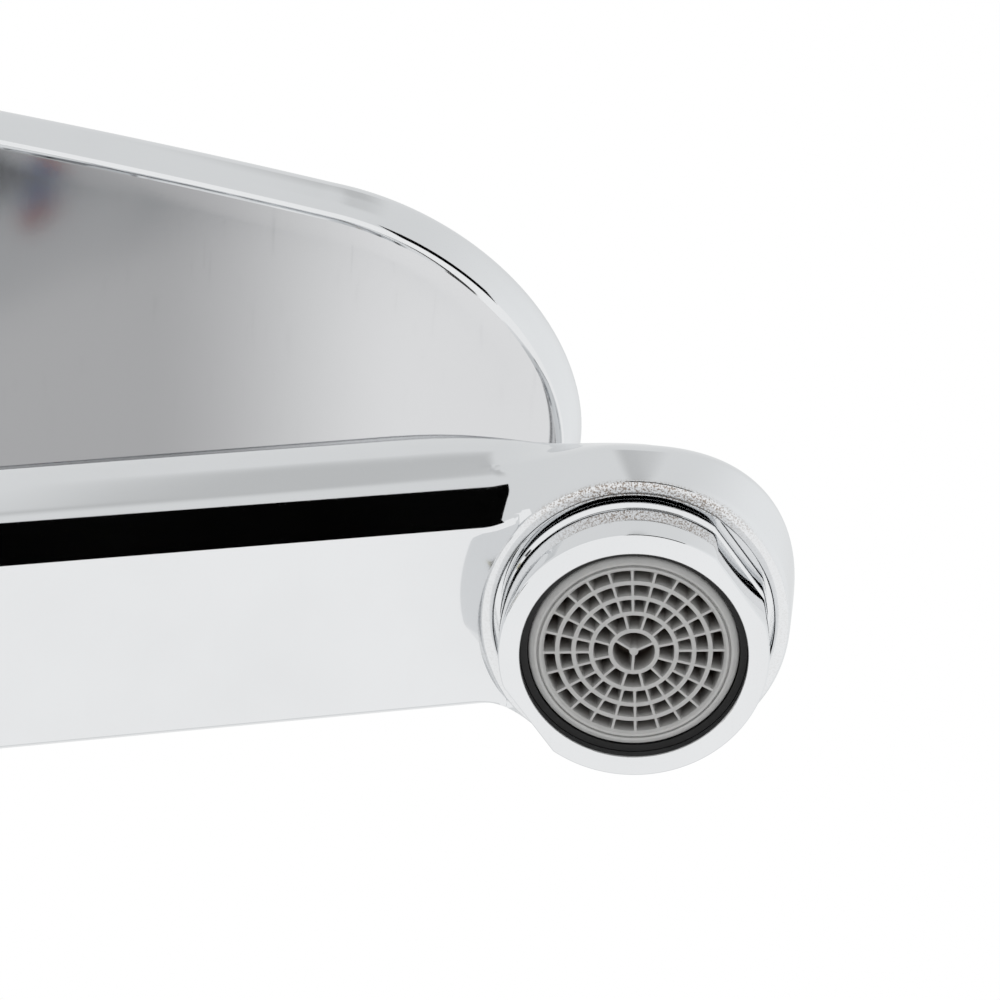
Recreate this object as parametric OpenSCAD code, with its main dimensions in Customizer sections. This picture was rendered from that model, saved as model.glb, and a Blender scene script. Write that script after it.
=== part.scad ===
// Single-lever kitchen mixer tap with a short cast spout that swivels on a fixed core.
// Millimetres. Origin: centre of the underside, on the worktop. +Z up, spout along +X.

/* [Overall] */
// Distance from the body axis to the outlet axis
reach = 122; // [112:1:140]
// Height of the outlet rim above the worktop
outlet_h = 64; // [61:0.5:72]
// Forward lean of the outlet axis, in degrees
outlet_tilt = 7; // [4:0.5:10]
// Diameter of the body, the bonnet and the handle cup
body_d = 52; // [51.4:0.2:56]

/* [Base and core] */
// Distance that the base ring stands out past the body
base_ledge = 1.5; // [1:0.25:4]
// Height of the base ring
base_h = 6; // [5:0.5:8]
// Width of the base gasket
gasket_w = 3.5; // [2.5:0.5:4]
// Thickness of the base gasket
gasket_h = 1.5; // [1:0.25:2]
// Rim left between the gasket and the edge of the base ring
gasket_rim = 2; // [1.5:0.25:3]
// Gap between the core and the collar that turns on it
turn_gap = 0.9; // [0.7:0.1:1.1]
// Step from the core in to its foot
foot_step = 2; // [1:0.25:3]
// Wall of the core round the cartridge
core_wall = 3.65; // [3:0.05:4.5]
// Depth of the water groove turned round the core
water_groove_depth = 2; // [1:0.25:3]
// Pilot diameter of the M10 x 1 inlet threads
inlet_d = 8.9; // [8.9:0.1:9.1]
// Length of the inlet threads
inlet_len = 12; // [9:1:14]
// Angle of each inlet from the back of the tap, in degrees
inlet_turn = 53.13; // [48:0.5:60]
// Diameter of the water passages in the core
passage_d = 6.5; // [5:0.5:7]

/* [Spout] */
// Wall of the collar that turns on the core
collar_wall = 3.1; // [2.8:0.1:3.4]
// Height of the collar that turns on the core
collar_h = 48.7; // [47:0.5:50]
// Upward angle of the underside of the spout, in degrees
spout_angle = 25.5; // [23:0.5:27]
// Width of the flat underside
spout_floor_w = 20.8; // [18:0.2:24]
// Width of the spout where its slanting facets end
spout_facet_w = 25.8; // [24:0.2:27]
// Height of the slanting facets beside the underside
spout_facet_h = 5.1; // [4:0.1:7]
// Widest width of the spout
spout_w = 27.8; // [27:0.2:31]
// Height of the widest line above the underside
spout_wide_h = 11; // [9:0.5:14]
// Height of the spout at its highest section, measured upright
spout_h = 24; // [22:0.5:26]
// Height of the spout where it leaves the collar
spout_root_h = 22.5; // [20:0.5:25]
// Height of the spout where its head starts
spout_tip_h = 18.5; // [17:0.5:21]
// Height of the underside line above the outlet rim at the outlet axis
spout_floor_rise = 4.4; // [3:0.2:6]
// Width of the rim of the outlet boss
boss_rim = 1.6; // [1.2:0.1:2.4]
// Height at which the boss is widest
boss_wide_h = 7.5; // [6.5:0.5:10]
// Height of the rounded top over the outlet
boss_top_h = 18.8; // [18:0.2:24]
// Diameter of the water passage in the spout
spout_passage_d = 8.5; // [7:0.5:9.5]

/* [Aerator] */
// Nominal diameter of the aerator thread
thread_d = 24; // [23.9:0.05:24.1]
// Length of the aerator thread
thread_len = 6; // [5:0.5:7]
// Gap between the aerator ring and the recess round it
recess_gap = 0.65; // [0.4:0.05:1]
// Depth of that recess
counterbore_depth = 3.2; // [2.5:0.1:4]
// Width of the shoulder of the aerator ring outside its thread
ring_shoulder = 1.75; // [1.5:0.05:2]
// Distance that the ring stands out of the spout
ring_drop = 7.6; // [6:0.2:9]
// Depth of each of the two spanner flats
flat_depth = 0.75; // [0.6:0.05:1]
// Width of the flat front face of the ring
ring_face = 2.2; // [2.1:0.05:2.4]
// Width of the black gasket inside the ring
aerator_gasket_w = 0.8; // [0.6:0.05:1]
// Depth of the grid behind the front of the ring
grid_recess = 1.3; // [1:0.1:1.8]
// Height of the grid
grid_h = 4.2; // [3:0.2:5]
// Thickness of the ribs and rings of the grid
grid_wall = 0.5; // [0.4:0.05:0.6]

/* [Cartridge] */
// Width of the shoulder of the cartridge that its nut bears on
cartridge_shoulder = 2.2; // [2:0.1:2.6]
// Thickness of the plastic cartridge base
cartridge_base_h = 4.5; // [4:0.25:5]
// Width of the housing wall round the fixed ceramic disc
disc_rim = 3.5; // [3:0.25:4]
// Width of ceramic left outside the ports
disc_land = 3.25; // [2.5:0.25:4]
// Thickness of the fixed ceramic disc
fixed_disc_h = 4; // [3.5:0.25:4.5]
// Room round the moving ceramic disc, out to the edge of the fixed one
disc_room = 4; // [4:0.25:5]
// Thickness of the moving ceramic disc
moving_disc_h = 3; // [2.5:0.25:3.5]
// Height of the pivot pin above the foot of the rotor
pivot_rise = 8.1; // [7.5:0.1:9]
// Diameter of the pivot pin
pivot_d = 3; // [2.5:0.1:3.4]
// Width of the square stem
stem_w = 8; // [7:0.25:8.5]
// Height of the stem above the pivot
stem_up = 32; // [29:0.5:34]
// Diameter of the ball at the lower end of the stem
ball_d = 6; // [5:0.25:6.5]

/* [Handle] */
// Full lift of the handle, in degrees
lift_angle = 25; // [20:1:26]
// Length of the handle from the body axis to its tip
handle_reach = 110.7; // [100:0.5:120]
// Width of the handle where its rounded tip begins
handle_tip_w = 47; // [44:0.5:49]
// Length of the rounded tip
handle_tip_len = 26; // [20:1:30]
// Radius of the long arch of the handle
handle_arc_r = 455; // [400:5:600]
// Height of the crest of that arch above the pivot, at the edge line of the handle
crest_up = 56.3; // [54:0.1:59]
// Height from the edge line to the top of the handle
handle_crown = 4.6; // [3.5:0.1:6]
// Height of the rim below the edge line
handle_skirt = 5; // [4:0.25:6]
// Width of the rim round the hollow underside
handle_rim = 2; // [1.5:0.1:3]
// Depth of the hollow underside
handle_hollow = 4; // [2:0.25:5]
// Height of the indicator plug above the pivot
plug_up = 18.5; // [17:0.25:20]
// Diameter of the indicator plug
plug_d = 7; // [6:0.25:8]

/* [Fixing] */
// Diameter of the fixing stud
stud_d = 8; // [7.8:0.1:8]
// Wall between the stud and the edge of the foot of the core
stud_wall = 3.5; // [3:0.25:4]
// Length of the stud below the worktop level
stud_len = 62; // [58:1:80]
// Distance from the worktop level to the clamp at its lowest
clamp_drop = 41; // [36:1:44]
// Diameter of the horseshoe clamp
clamp_d = 50; // [48:0.5:54]
// Width of the slot in the horseshoe clamp
clamp_slot_w = 30; // [28:0.5:31]

/* [Hidden] */
$fn = 96;

// Running gap between pieces that move past each other without touching
run_gap = 0.3;
// Radial clearance of a turned fit
fit_gap = 0.05;
// Length by which a cutter overruns a face
cut = 1;
// Thickness of the slices that a blended shape is drawn between
slice = 0.05;
// Small chamfer on turned edges
chamfer = 0.8;

// Diameters that follow from the body, from the outside in
bonnet_wall = 2;
base_d = body_d + 2 * base_ledge;
gasket_d = base_d - 2 * gasket_rim;
collar_bore_d = body_d - 2 * collar_wall;
core_d = collar_bore_d - 2 * turn_gap;
core_foot_d = core_d - 2 * foot_step;
core_head_d = body_d - 2 * bonnet_wall - 2 * fit_gap;
cartridge_d = core_head_d - 2 * core_wall - 2 * run_gap;
neck_d = cartridge_d - 2 * cartridge_shoulder;
fixed_disc_d = cartridge_d - 2 * disc_rim;
moving_disc_d = fixed_disc_d - 2 * disc_room;
port_r = fixed_disc_d / 2 - disc_land - passage_d / 2;
port_x = port_r - 1;
inlet_back = port_r * cos(inlet_turn);
inlet_side = port_r * sin(inlet_turn);
stud_front = core_foot_d / 2 - stud_wall - stud_d / 2;

// Diameters that follow from the aerator thread
ring_d = thread_d + 2 * ring_shoulder;
ring_flats = ring_d - 2 * flat_depth;
ring_opening_d = ring_d - 2 * ring_face;
grid_d = ring_opening_d - 2 * aerator_gasket_w;
counterbore_d = ring_d + 2 * recess_gap;
boss_d = counterbore_d + 2 * boss_rim;

// Line of the underside of the spout
floor_x = reach - spout_floor_rise * sin(outlet_tilt);
floor_z = outlet_h + spout_floor_rise * cos(outlet_tilt);

// Spout collar and core
collar_z = base_h + run_gap;
collar_top = collar_z + collar_h;
core_shoulder_z = collar_top + run_gap;
nut_thread_h = 7.5;
chamber_depth = 7.3;
chamber_z = core_shoulder_z - chamber_depth;
fixed_disc_z = chamber_z + cartridge_base_h;
shoulder_over = 0.5;
cartridge_shoulder_z = fixed_disc_z + fixed_disc_h + shoulder_over;
core_top = cartridge_shoulder_z + nut_thread_h;
bonnet_roof = 1.5;
bonnet_top = core_top + bonnet_roof;
slide_ring_h = 3;
slide_ring_depth = 0.6;
slide_ring_inset = 1.2;
slide_ring_d = collar_bore_d - 2 * fit_gap;
seal_wire_d = 1.8;
seal_slack = 0.15;
seal_groove_h = 2.4;
seal_step = 4;
seal_floor_d = collar_bore_d - 2 * seal_slack - 2 * seal_wire_d;
upper_seal_z = chamber_z - seal_step;

// Swivel stop: a screw in the core that runs in an arc cut in the bore of the collar
swivel_each_way = 70;
stop_d = 3.8;
stop_z = collar_z + slide_ring_inset + slide_ring_h + stop_d / 2 + slide_ring_inset;
stop_reach = 1.2;
stop_tip_r = collar_bore_d / 2 + stop_reach;
stop_root_r = stop_tip_r / 2;
seal_over_stop = 6.6;
lower_seal_z = stop_z + seal_over_stop;
water_groove_z = lower_seal_z + seal_groove_h;
water_groove_h = upper_seal_z - seal_groove_h - water_groove_z;
port_z = water_groove_z + water_groove_h / 2;
stop_arc = 2 * swivel_each_way + 2 * asin((stop_d / 2 + run_gap) / (collar_bore_d / 2));

// Bonnet dome, which the handle cup rides over
dome_gap = 0.6;
cup_wall = 2.6;
dome_r = body_d / 2 - cup_wall - dome_gap;
dome_wall = 1.6;
lug_d = 10;
lug_gap = 1.5;
dome_open_h = plug_up - lug_d / 2 - lug_gap;

// Cartridge
housing_wall = 2.3;
rotor_d = neck_d - 2 * housing_wall - 2 * fit_gap;
moving_disc_z = fixed_disc_z + fixed_disc_h;
carrier_h = 3.6;
carrier_z = moving_disc_z + moving_disc_h;
rotor_z = carrier_z + carrier_h + run_gap;
pivot_h = rotor_z + pivot_rise;
plug_h = pivot_h + plug_up;
handle_crest_h = pivot_h + crest_up;
rotor_over = 2.8;
rotor_top = pivot_h + rotor_over;
housing_roof = 2.4;
housing_lip = 3;
housing_top = rotor_top + run_gap + housing_roof;
ball_sink = ball_d / 2;
stem_arm = pivot_h - (carrier_z + ball_sink);
disc_travel = stem_arm * sin(lift_angle);
disc_offset = -disc_travel / 2;
nut_collar_h = 4;
nut_wall = 3;

// Spout
root_sunk = 5;
root_run = 13;
root_in_x = body_d / 2 - root_sunk;
root_out_x = body_d / 2 + root_run;
tip_start_x = reach - boss_d / 2;
root_flare = 3.2;
section_power = 2.3;
plan_power = 2.45;
arc_steps = 10;
nose_lead = 0.6;
head_power = 1.6;
shoulder_run = 18;
shoulder_x = tip_start_x - shoulder_run;
boss_flare = 0.55;
head_w = boss_d + 2 * boss_flare;
head_shares = [0, 0.45, 0.75, 0.93];

// Aerator
seat_len = thread_len + 1.5;
washer_h = 1.5;
washer_w = 4;
outlet_bore_len = counterbore_depth + seat_len + washer_h;
ring_wall = 1.15;
flat_turn = -38;
grid_ring_shares = [0.220, 0.403, 0.568, 0.723, 0.872];
grid_rib_counts = [12, 24, 24, 24];
grid_turns = [13, 10, 10, 10];
plate_h = 1.4;
plate_hole_d = 1.8;
plate_hole_count = 12;

// Handle
cup_rim_up = 2;
cup_flat_r = 13;
cup_round = body_d / 2 - cup_flat_r;
cavity_wall = 3.5;
cavity_d = body_d - 2 * cavity_wall;
socket_d = 17;
socket_gap = 2.5;
socket_low = dome_open_h + socket_gap;
screw_d = 5;
screw_len = 8;
plug_depth = 3;
plug_recess = 0.6;
handle_crest_x = -25;
handle_inset = 0.2;
handle_start_w = body_d - 2 * handle_inset;
handle_power = 3.2;
handle_draft = 0.8;
cup_top = edge_at(0) + handle_crown - handle_draft;
cup_roof = 7;
cavity_top = cup_top - cup_roof;
tip_x = handle_reach - handle_tip_len;

// Clamp
rubber_h = 3;
plate_t = 2.5;
nut_h = 7.5;
nut_rim = 2.5;
nut_flats = stud_d + 2 * nut_rim;
clamp_web = 2.2;
slot_front = stud_front - stud_d / 2 - run_gap - clamp_web;
slot_back = clamp_slot_w / 2 - slot_front;
stud_sink = 14;

// Points of a quarter of a superellipse, from the widest point to the top
function quarter(w, h, power) = [for (i = [0 : arc_steps])
    let (a = 90 * i / arc_steps)
    [w * pow(cos(a), 2 / power), h * pow(sin(a), 2 / power)]];

// Points of a whole superellipse
function superellipse(a, b, power) = [for (i = [0 : 4 * arc_steps - 1])
    let (t = 90 * i / arc_steps)
    [a * sign(cos(t)) * pow(abs(cos(t)), 2 / power),
     b * sign(sin(t)) * pow(abs(sin(t)), 2 / power)]];

// Mirrors a half outline, given as [half width, height], into a whole one
function both_sides(half) = concat(half, [for (i = [len(half) - 1 : -1 : 0])
    if (half[i][0] > 0) [-half[i][0], half[i][1]]]);

// Half outline of the spout: a flat floor, a slanting facet, an upright side and a rounded top
function spout_half(grow, high) = concat([[spout_floor_w / 2 + grow, -grow],
    [spout_facet_w / 2 + grow, spout_facet_h],
    [spout_w / 2 - (spout_w - spout_facet_w) / 8 + grow, (spout_facet_h + spout_wide_h) / 2]],
    [for (p = quarter(spout_w / 2 + grow, high - spout_wide_h + grow, section_power))
        [p[0], p[1] + spout_wide_h]]);

// Height of the underside of the spout at a distance from the body axis
function floor_at(x) = floor_z + (x - floor_x) * tan(spout_angle);

// Height of the edge line of the handle at a distance from the body axis
function edge_at(x) = handle_crest_h - handle_arc_r
    + sqrt(pow(handle_arc_r, 2) - pow(x - handle_crest_x, 2));

// Half width of the handle at a distance from the body axis
function half_width_at(x) = x <= tip_x
    ? (handle_start_w + (handle_tip_w - handle_start_w) * x / tip_x) / 2
    : handle_tip_w / 2 * sqrt(max(0, 1 - pow((x - tip_x) / handle_tip_len, 2)));

// Half outline of the handle: a skirt that leans in and a crowned top
function handle_half(w) = concat([[w - min(handle_draft, w / 2), -handle_skirt]],
    quarter(w, handle_crown, handle_power));

// Plan of the handle from the body axis to its tip, drawn in by a margin
function handle_plan(margin, x_low) = both_sides_x([for (i = [0 : 2 * arc_steps])
    let (x = tip_x + (handle_tip_len - margin) * sin(90 * i / (2 * arc_steps)))
    [x, (handle_tip_w / 2 - margin) * cos(90 * i / (2 * arc_steps))]],
    [x_low, half_width_at(x_low) - margin]);

// Closes a plan outline about the X axis
function both_sides_x(half, start) = concat([start], half,
    [for (i = [len(half) - 2 : -1 : 0]) [half[i][0], -half[i][1]]], [[start[0], -start[1]]]);

// A cylinder between two heights
module disc(d, low, high) {
    translate([0, 0, low]) cylinder(d = d, h = high - low);
}

// A ring between two heights
module ring(d_out, d_in, low, high) {
    difference() {
        disc(d_out, low, high);
        disc(d_in, low - cut, high + cut);
    }
}

// A turned ring whose outer edges have chamfers
module turned_ring(d_out, d_in, low, high, low_cut, high_cut) {
    rotate_extrude() polygon([[d_in / 2, low], [d_out / 2 - low_cut, low],
        [d_out / 2, low + low_cut], [d_out / 2, high - high_cut],
        [d_out / 2 - high_cut, high], [d_in / 2, high]]);
}

// Puts a child in the outlet's own frame, with +Z up along the outlet axis
module at_outlet() {
    translate([reach, 0, outlet_h]) rotate([0, -outlet_tilt, 0]) children();
}

// A thin upright slice of the spout, at a distance from the body axis
module spout_slice(x, grow, high) {
    translate([x, 0, floor_at(x)]) rotate([90, 0, 90])
        linear_extrude(slice) polygon(both_sides(spout_half(grow, high)));
}

// A thin level slice of the outlet boss, drawn in to a share of its width
module boss_slice(height, share) {
    translate([nose_lead, 0, height]) linear_extrude(slice)
        polygon(superellipse(head_w / 2 * share, head_w / 2 * share, plan_power));
}

// A thin upright slice of the handle, at a distance from the body axis
module handle_slice(x) {
    translate([x, 0, edge_at(x)]) rotate([90, 0, 90])
        linear_extrude(slice) polygon(both_sides(handle_half(half_width_at(x))));
}

module base_ring() {
    color([0.80, 0.81, 0.83]) difference() {
        turned_ring(base_d, core_foot_d + 2 * fit_gap, 0, base_h, 0, chamfer);
        ring(gasket_d, gasket_d - 2 * gasket_w, -cut, gasket_h);
    }
}

module base_gasket() {
    color([0.07, 0.07, 0.07])
        ring(gasket_d - 2 * fit_gap, gasket_d - 2 * gasket_w + 2 * fit_gap, 0, gasket_h);
}

module body_core() {
    color([0.78, 0.63, 0.32]) difference() {
        union() {
            disc(core_foot_d, 0, base_h);
            disc(core_d, base_h, core_shoulder_z);
            disc(core_head_d, core_shoulder_z, core_top);
        }
        // Chamber for the cartridge and thread for its nut
        disc(cartridge_d + 2 * run_gap, chamber_z, core_top + cut);
        disc(core_nut_d() + 2 * fit_gap, cartridge_shoulder_z, core_top + cut);
        // Grooves for the slide rings and the seals
        for (z = [collar_z + slide_ring_inset, collar_top - slide_ring_inset - slide_ring_h])
            ring(core_d + 2 * cut, core_d - 2 * slide_ring_depth, z, z + slide_ring_h);
        for (z = [lower_seal_z, upper_seal_z])
            ring(core_d + 2 * cut, seal_floor_d, z - seal_groove_h / 2, z + seal_groove_h / 2);
        // Groove that carries the mixed water round to the spout
        ring(core_d + 2 * cut, core_d - 2 * water_groove_depth, water_groove_z,
            water_groove_z + water_groove_h);
        // Inlets from below and their passages
        for (side = [-1, 1]) translate([-inlet_back, side * inlet_side, 0]) {
            disc(inlet_d, -cut, inlet_len);
            disc(passage_d, 0, chamber_z + cut);
        }
        // Mixed water: down from the chamber and out to the groove
        translate([port_x, 0, 0]) disc(passage_d, port_z, chamber_z + cut);
        translate([port_x, 0, port_z]) rotate([0, 90, 0]) disc(passage_d, 0, core_d);
        // Holes for the fixing stud and the stop screw
        translate([stud_front, 0, 0]) disc(stud_d + 2 * fit_gap, -cut, stud_sink);
        translate([0, 0, stop_z]) rotate([0, -90, 0])
            disc(stop_d + 2 * fit_gap, stop_root_r, core_d);
    }
}

// Thread diameter of the nut that holds the cartridge
function core_nut_d() = neck_d + 2 * run_gap + 2 * nut_wall;

module slide_ring_at(z) {
    color([0.93, 0.93, 0.90])
        ring(slide_ring_d, core_d - 2 * slide_ring_depth + 2 * fit_gap, z, z + slide_ring_h);
}

module lower_slide_ring() {
    slide_ring_at(collar_z + slide_ring_inset);
}

module upper_slide_ring() {
    slide_ring_at(collar_top - slide_ring_inset - slide_ring_h);
}

module spout_seal_at(z) {
    color([0.08, 0.08, 0.08]) rotate_extrude()
        translate([seal_floor_d / 2 + seal_wire_d / 2, z]) circle(d = seal_wire_d);
}

module lower_spout_seal() {
    spout_seal_at(lower_seal_z);
}

module upper_spout_seal() {
    spout_seal_at(upper_seal_z);
}

module swivel_stop_screw() {
    color([0.70, 0.71, 0.73]) translate([0, 0, stop_z]) rotate([0, -90, 0])
        disc(stop_d, stop_root_r, stop_tip_r);
}

module fixing_stud() {
    color([0.72, 0.70, 0.60]) translate([stud_front, 0, 0]) disc(stud_d, -stud_len, stud_sink);
}

module bonnet() {
    color([0.80, 0.81, 0.83]) difference() {
        union() {
            turned_ring(body_d, dome_r, core_shoulder_z, bonnet_top, 0, chamfer);
            disc(2 * dome_r, bonnet_top - bonnet_roof, pivot_h);
            intersection() {
                translate([0, 0, pivot_h]) sphere(r = dome_r);
                disc(2 * body_d, pivot_h, pivot_h + dome_open_h);
            }
        }
        disc(core_head_d + 2 * fit_gap, core_shoulder_z - cut, core_top);
        disc(2 * (dome_r - dome_wall), core_top - cut, pivot_h);
        translate([0, 0, pivot_h]) sphere(r = dome_r - dome_wall);
    }
}

// Places a child over each of the three water ports, at a distance from the axis
module at_ports() {
    translate([port_x, 0, 0]) children();
    for (side = [-1, 1]) translate([-inlet_back, side * inlet_side, 0]) children();
}

module port_seals() {
    color([0.08, 0.08, 0.08]) at_ports()
        ring(passage_d + 4 * seal_slack + 2 * seal_wire_d, passage_d + 4 * seal_slack,
            chamber_z, chamber_z + seal_wire_d);
}

module cartridge_base() {
    color([0.92, 0.92, 0.88]) difference() {
        disc(cartridge_d, chamber_z, fixed_disc_z);
        at_ports() {
            disc(passage_d, chamber_z - cut, fixed_disc_z + cut);
            disc(passage_d + 6 * seal_slack + 2 * seal_wire_d, chamber_z - cut,
                chamber_z + seal_wire_d);
        }
    }
}

module fixed_disc() {
    color([0.95, 0.94, 0.90]) difference() {
        disc(fixed_disc_d, fixed_disc_z, moving_disc_z);
        at_ports() disc(passage_d, fixed_disc_z - cut, moving_disc_z + cut);
    }
}

module cartridge_housing() {
    color([0.90, 0.90, 0.87]) difference() {
        union() {
            disc(cartridge_d, fixed_disc_z, cartridge_shoulder_z);
            disc(neck_d, cartridge_shoulder_z, housing_top);
        }
        disc(fixed_disc_d + 2 * fit_gap, fixed_disc_z - cut, moving_disc_z);
        disc(neck_d - 2 * housing_wall, moving_disc_z - cut, housing_top - housing_roof);
        disc(neck_d - 2 * housing_wall - 2 * housing_lip, housing_top - 2 * housing_roof,
            housing_top + cut);
    }
}

module cartridge_nut() {
    color([0.78, 0.63, 0.32]) difference() {
        union() {
            disc(core_nut_d(), cartridge_shoulder_z, core_top);
            translate([0, 0, core_top]) cylinder(d = core_nut_d() - nut_wall / 2,
                h = nut_collar_h, $fn = 12);
        }
        disc(neck_d + 2 * fit_gap, cartridge_shoulder_z - cut, core_top + nut_collar_h + cut);
    }
}

module spout() {
    color([0.82, 0.83, 0.85]) difference() {
        union() {
            // Collar that turns on the core
            disc(body_d, collar_z, collar_top);
            // Root that flares into the collar
            hull() {
                spout_slice(root_in_x, root_flare, spout_root_h);
                spout_slice(root_out_x, 0, spout_root_h);
            }
            hull() {
                spout_slice(root_out_x, 0, spout_root_h);
                spout_slice(shoulder_x, 0, spout_h);
            }
            hull() {
                spout_slice(shoulder_x, 0, spout_h);
                spout_slice(tip_start_x, 0, spout_tip_h);
            }
            // Rounded head over the outlet, down to the rim of its boss
            hull() {
                spout_slice(tip_start_x, 0, spout_tip_h);
                at_outlet() {
                    disc(boss_d, 0, slice);
                    for (share = head_shares)
                        boss_slice(boss_wide_h + (boss_top_h - boss_wide_h) * share,
                            pow(1 - pow(share, head_power), 1 / head_power));
                }
            }
        }
        // Bore, and the arc that the stop screw runs in
        disc(collar_bore_d, collar_z - cut, collar_top + cut);
        translate([0, 0, stop_z]) rotate([0, 0, 180 - stop_arc / 2])
            rotate_extrude(angle = stop_arc)
                translate([collar_bore_d / 2 - cut, -stop_d / 2 - run_gap])
                    square([stop_reach + run_gap + cut, stop_d + 2 * run_gap]);
        // Outlet: recess, thread and water passage
        at_outlet() {
            disc(counterbore_d, -cut, counterbore_depth);
            disc(thread_d, 0, outlet_bore_len);
        }
        translate(passage_start()) rotate([0, 90 - passage_angle(), 0])
            disc(spout_passage_d, 0, passage_len());
    }
}

// Middle of the spout's section over its floor, at the collar
function mid_h() = spout_root_h / 2;
// The passage runs from the water groove to the top of the outlet bore
function passage_start() = [core_d / 2 - water_groove_depth, 0,
    floor_at(body_d / 2) + mid_h()];
function passage_end() = [reach - outlet_bore_len * sin(outlet_tilt), 0,
    outlet_h + outlet_bore_len * cos(outlet_tilt)];
function passage_angle() = atan2(passage_end()[2] - passage_start()[2],
    passage_end()[0] - passage_start()[0]);
function passage_len() = norm(passage_end() - passage_start());

module aerator_ring() {
    bore_d = grid_d + 2 * fit_gap;
    color([0.80, 0.81, 0.83]) at_outlet() difference() {
        union() {
            intersection() {
                turned_ring(ring_d, bore_d, -ring_drop, counterbore_depth, chamfer / 2,
                    chamfer / 2);
                rotate([0, 0, flat_turn]) translate([-ring_flats / 2, -ring_d, -ring_d])
                    cube([ring_flats, 2 * ring_d, 2 * ring_d]);
            }
            disc(thread_d - 2 * fit_gap, 0, counterbore_depth + seat_len);
        }
        disc(bore_d, -ring_drop - cut, outlet_bore_len);
        disc(ring_opening_d, -ring_drop - cut, -ring_drop + 2 * grid_recess);
    }
}

module aerator_gasket() {
    color([0.05, 0.05, 0.05]) at_outlet()
        ring(ring_opening_d - 2 * fit_gap, grid_d + 2 * fit_gap, -ring_drop + grid_recess,
            -ring_drop + 2 * grid_recess);
}

module aerator_grid() {
    low = -ring_drop + grid_recess;
    color([0.62, 0.62, 0.62]) at_outlet() {
        translate([0, 0, low]) linear_extrude(grid_h) {
            difference() {
                circle(d = grid_d);
                circle(d = grid_d * grid_ring_shares[4]);
            }
            for (share = [for (i = [0 : 3]) grid_ring_shares[i]]) difference() {
                circle(d = grid_d * share + grid_wall);
                circle(d = grid_d * share - grid_wall);
            }
            for (band = [0 : len(grid_rib_counts) - 1])
                for (i = [0 : grid_rib_counts[band] - 1])
                    rotate(grid_turns[band] + i * 360 / grid_rib_counts[band])
                        translate([grid_d * grid_ring_shares[band] / 2, -grid_wall / 2])
                            square([grid_d * (grid_ring_shares[band + 1]
                                - grid_ring_shares[band]) / 2 + grid_wall / 2, grid_wall]);
            for (i = [0 : 2]) rotate(90 + i * 120) translate([0, -grid_wall / 2])
                square([grid_d * grid_ring_shares[0] / 2, grid_wall]);
        }
    }
}

module flow_plate() {
    low = counterbore_depth + thread_len / 2;
    color([0.90, 0.90, 0.88]) at_outlet() difference() {
        union() {
            disc(grid_d, low, low + plate_h);
            ring(grid_d, grid_d - 2 * ring_wall, -ring_drop + grid_recess + grid_h, low);
        }
        for (share = [grid_ring_shares[1], grid_ring_shares[3]])
            for (i = [0 : plate_hole_count - 1]) rotate(i * 360 / plate_hole_count)
                translate([grid_d * share / 2, 0, 0])
                    disc(plate_hole_d, low - cut, low + plate_h + cut);
    }
}

module aerator_washer() {
    color([0.08, 0.08, 0.08]) at_outlet() ring(thread_d - 2 * fit_gap,
        thread_d - 2 * fit_gap - 2 * washer_w, counterbore_depth + seat_len, outlet_bore_len);
}

module cartridge_rotor() {
    color([0.88, 0.88, 0.85]) difference() {
        disc(rotor_d, rotor_z, rotor_top);
        // Slot that lets the stem swing
        translate([-rotor_d / 3, -stem_w / 2 - run_gap, rotor_z - cut])
            cube([rotor_d * 2 / 3, stem_w + 2 * run_gap, rotor_top - rotor_z + 2 * cut]);
        translate([0, 0, pivot_h]) rotate([90, 0, 0])
            disc(pivot_d + 2 * fit_gap, -rotor_d, rotor_d);
    }
}

module pivot_pin() {
    color([0.75, 0.76, 0.78]) translate([0, 0, pivot_h]) rotate([90, 0, 0])
        disc(pivot_d, -rotor_d / 2 + run_gap, rotor_d / 2 - run_gap);
}

module moving_disc() {
    color([0.95, 0.94, 0.90]) translate([disc_offset, 0, 0]) difference() {
        disc(moving_disc_d, moving_disc_z + fit_gap, carrier_z);
        // Mixing pocket in the lower face
        disc(moving_disc_d / 2, moving_disc_z - cut, moving_disc_z + moving_disc_h / 2);
    }
}

module disc_carrier() {
    color([0.85, 0.30, 0.20]) translate([disc_offset, 0, 0]) difference() {
        disc(moving_disc_d, carrier_z, carrier_z + carrier_h);
        translate([-disc_offset, 0, 0])
            disc(ball_d + 4 * run_gap, carrier_z - cut, carrier_z + carrier_h + cut);
    }
}

module stem() {
    color([0.75, 0.76, 0.78]) difference() {
        union() {
            translate([0, 0, pivot_h - stem_arm + run_gap]) sphere(d = ball_d);
            disc(ball_d - 2 * run_gap, pivot_h - stem_arm, pivot_h);
            translate([-stem_w / 2, -stem_w / 2, pivot_h - stem_w / 2])
                cube([stem_w, stem_w, stem_w / 2 + stem_up]);
        }
        translate([0, 0, pivot_h]) rotate([90, 0, 0])
            disc(pivot_d + 2 * fit_gap, -stem_w, stem_w);
    }
}

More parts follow.
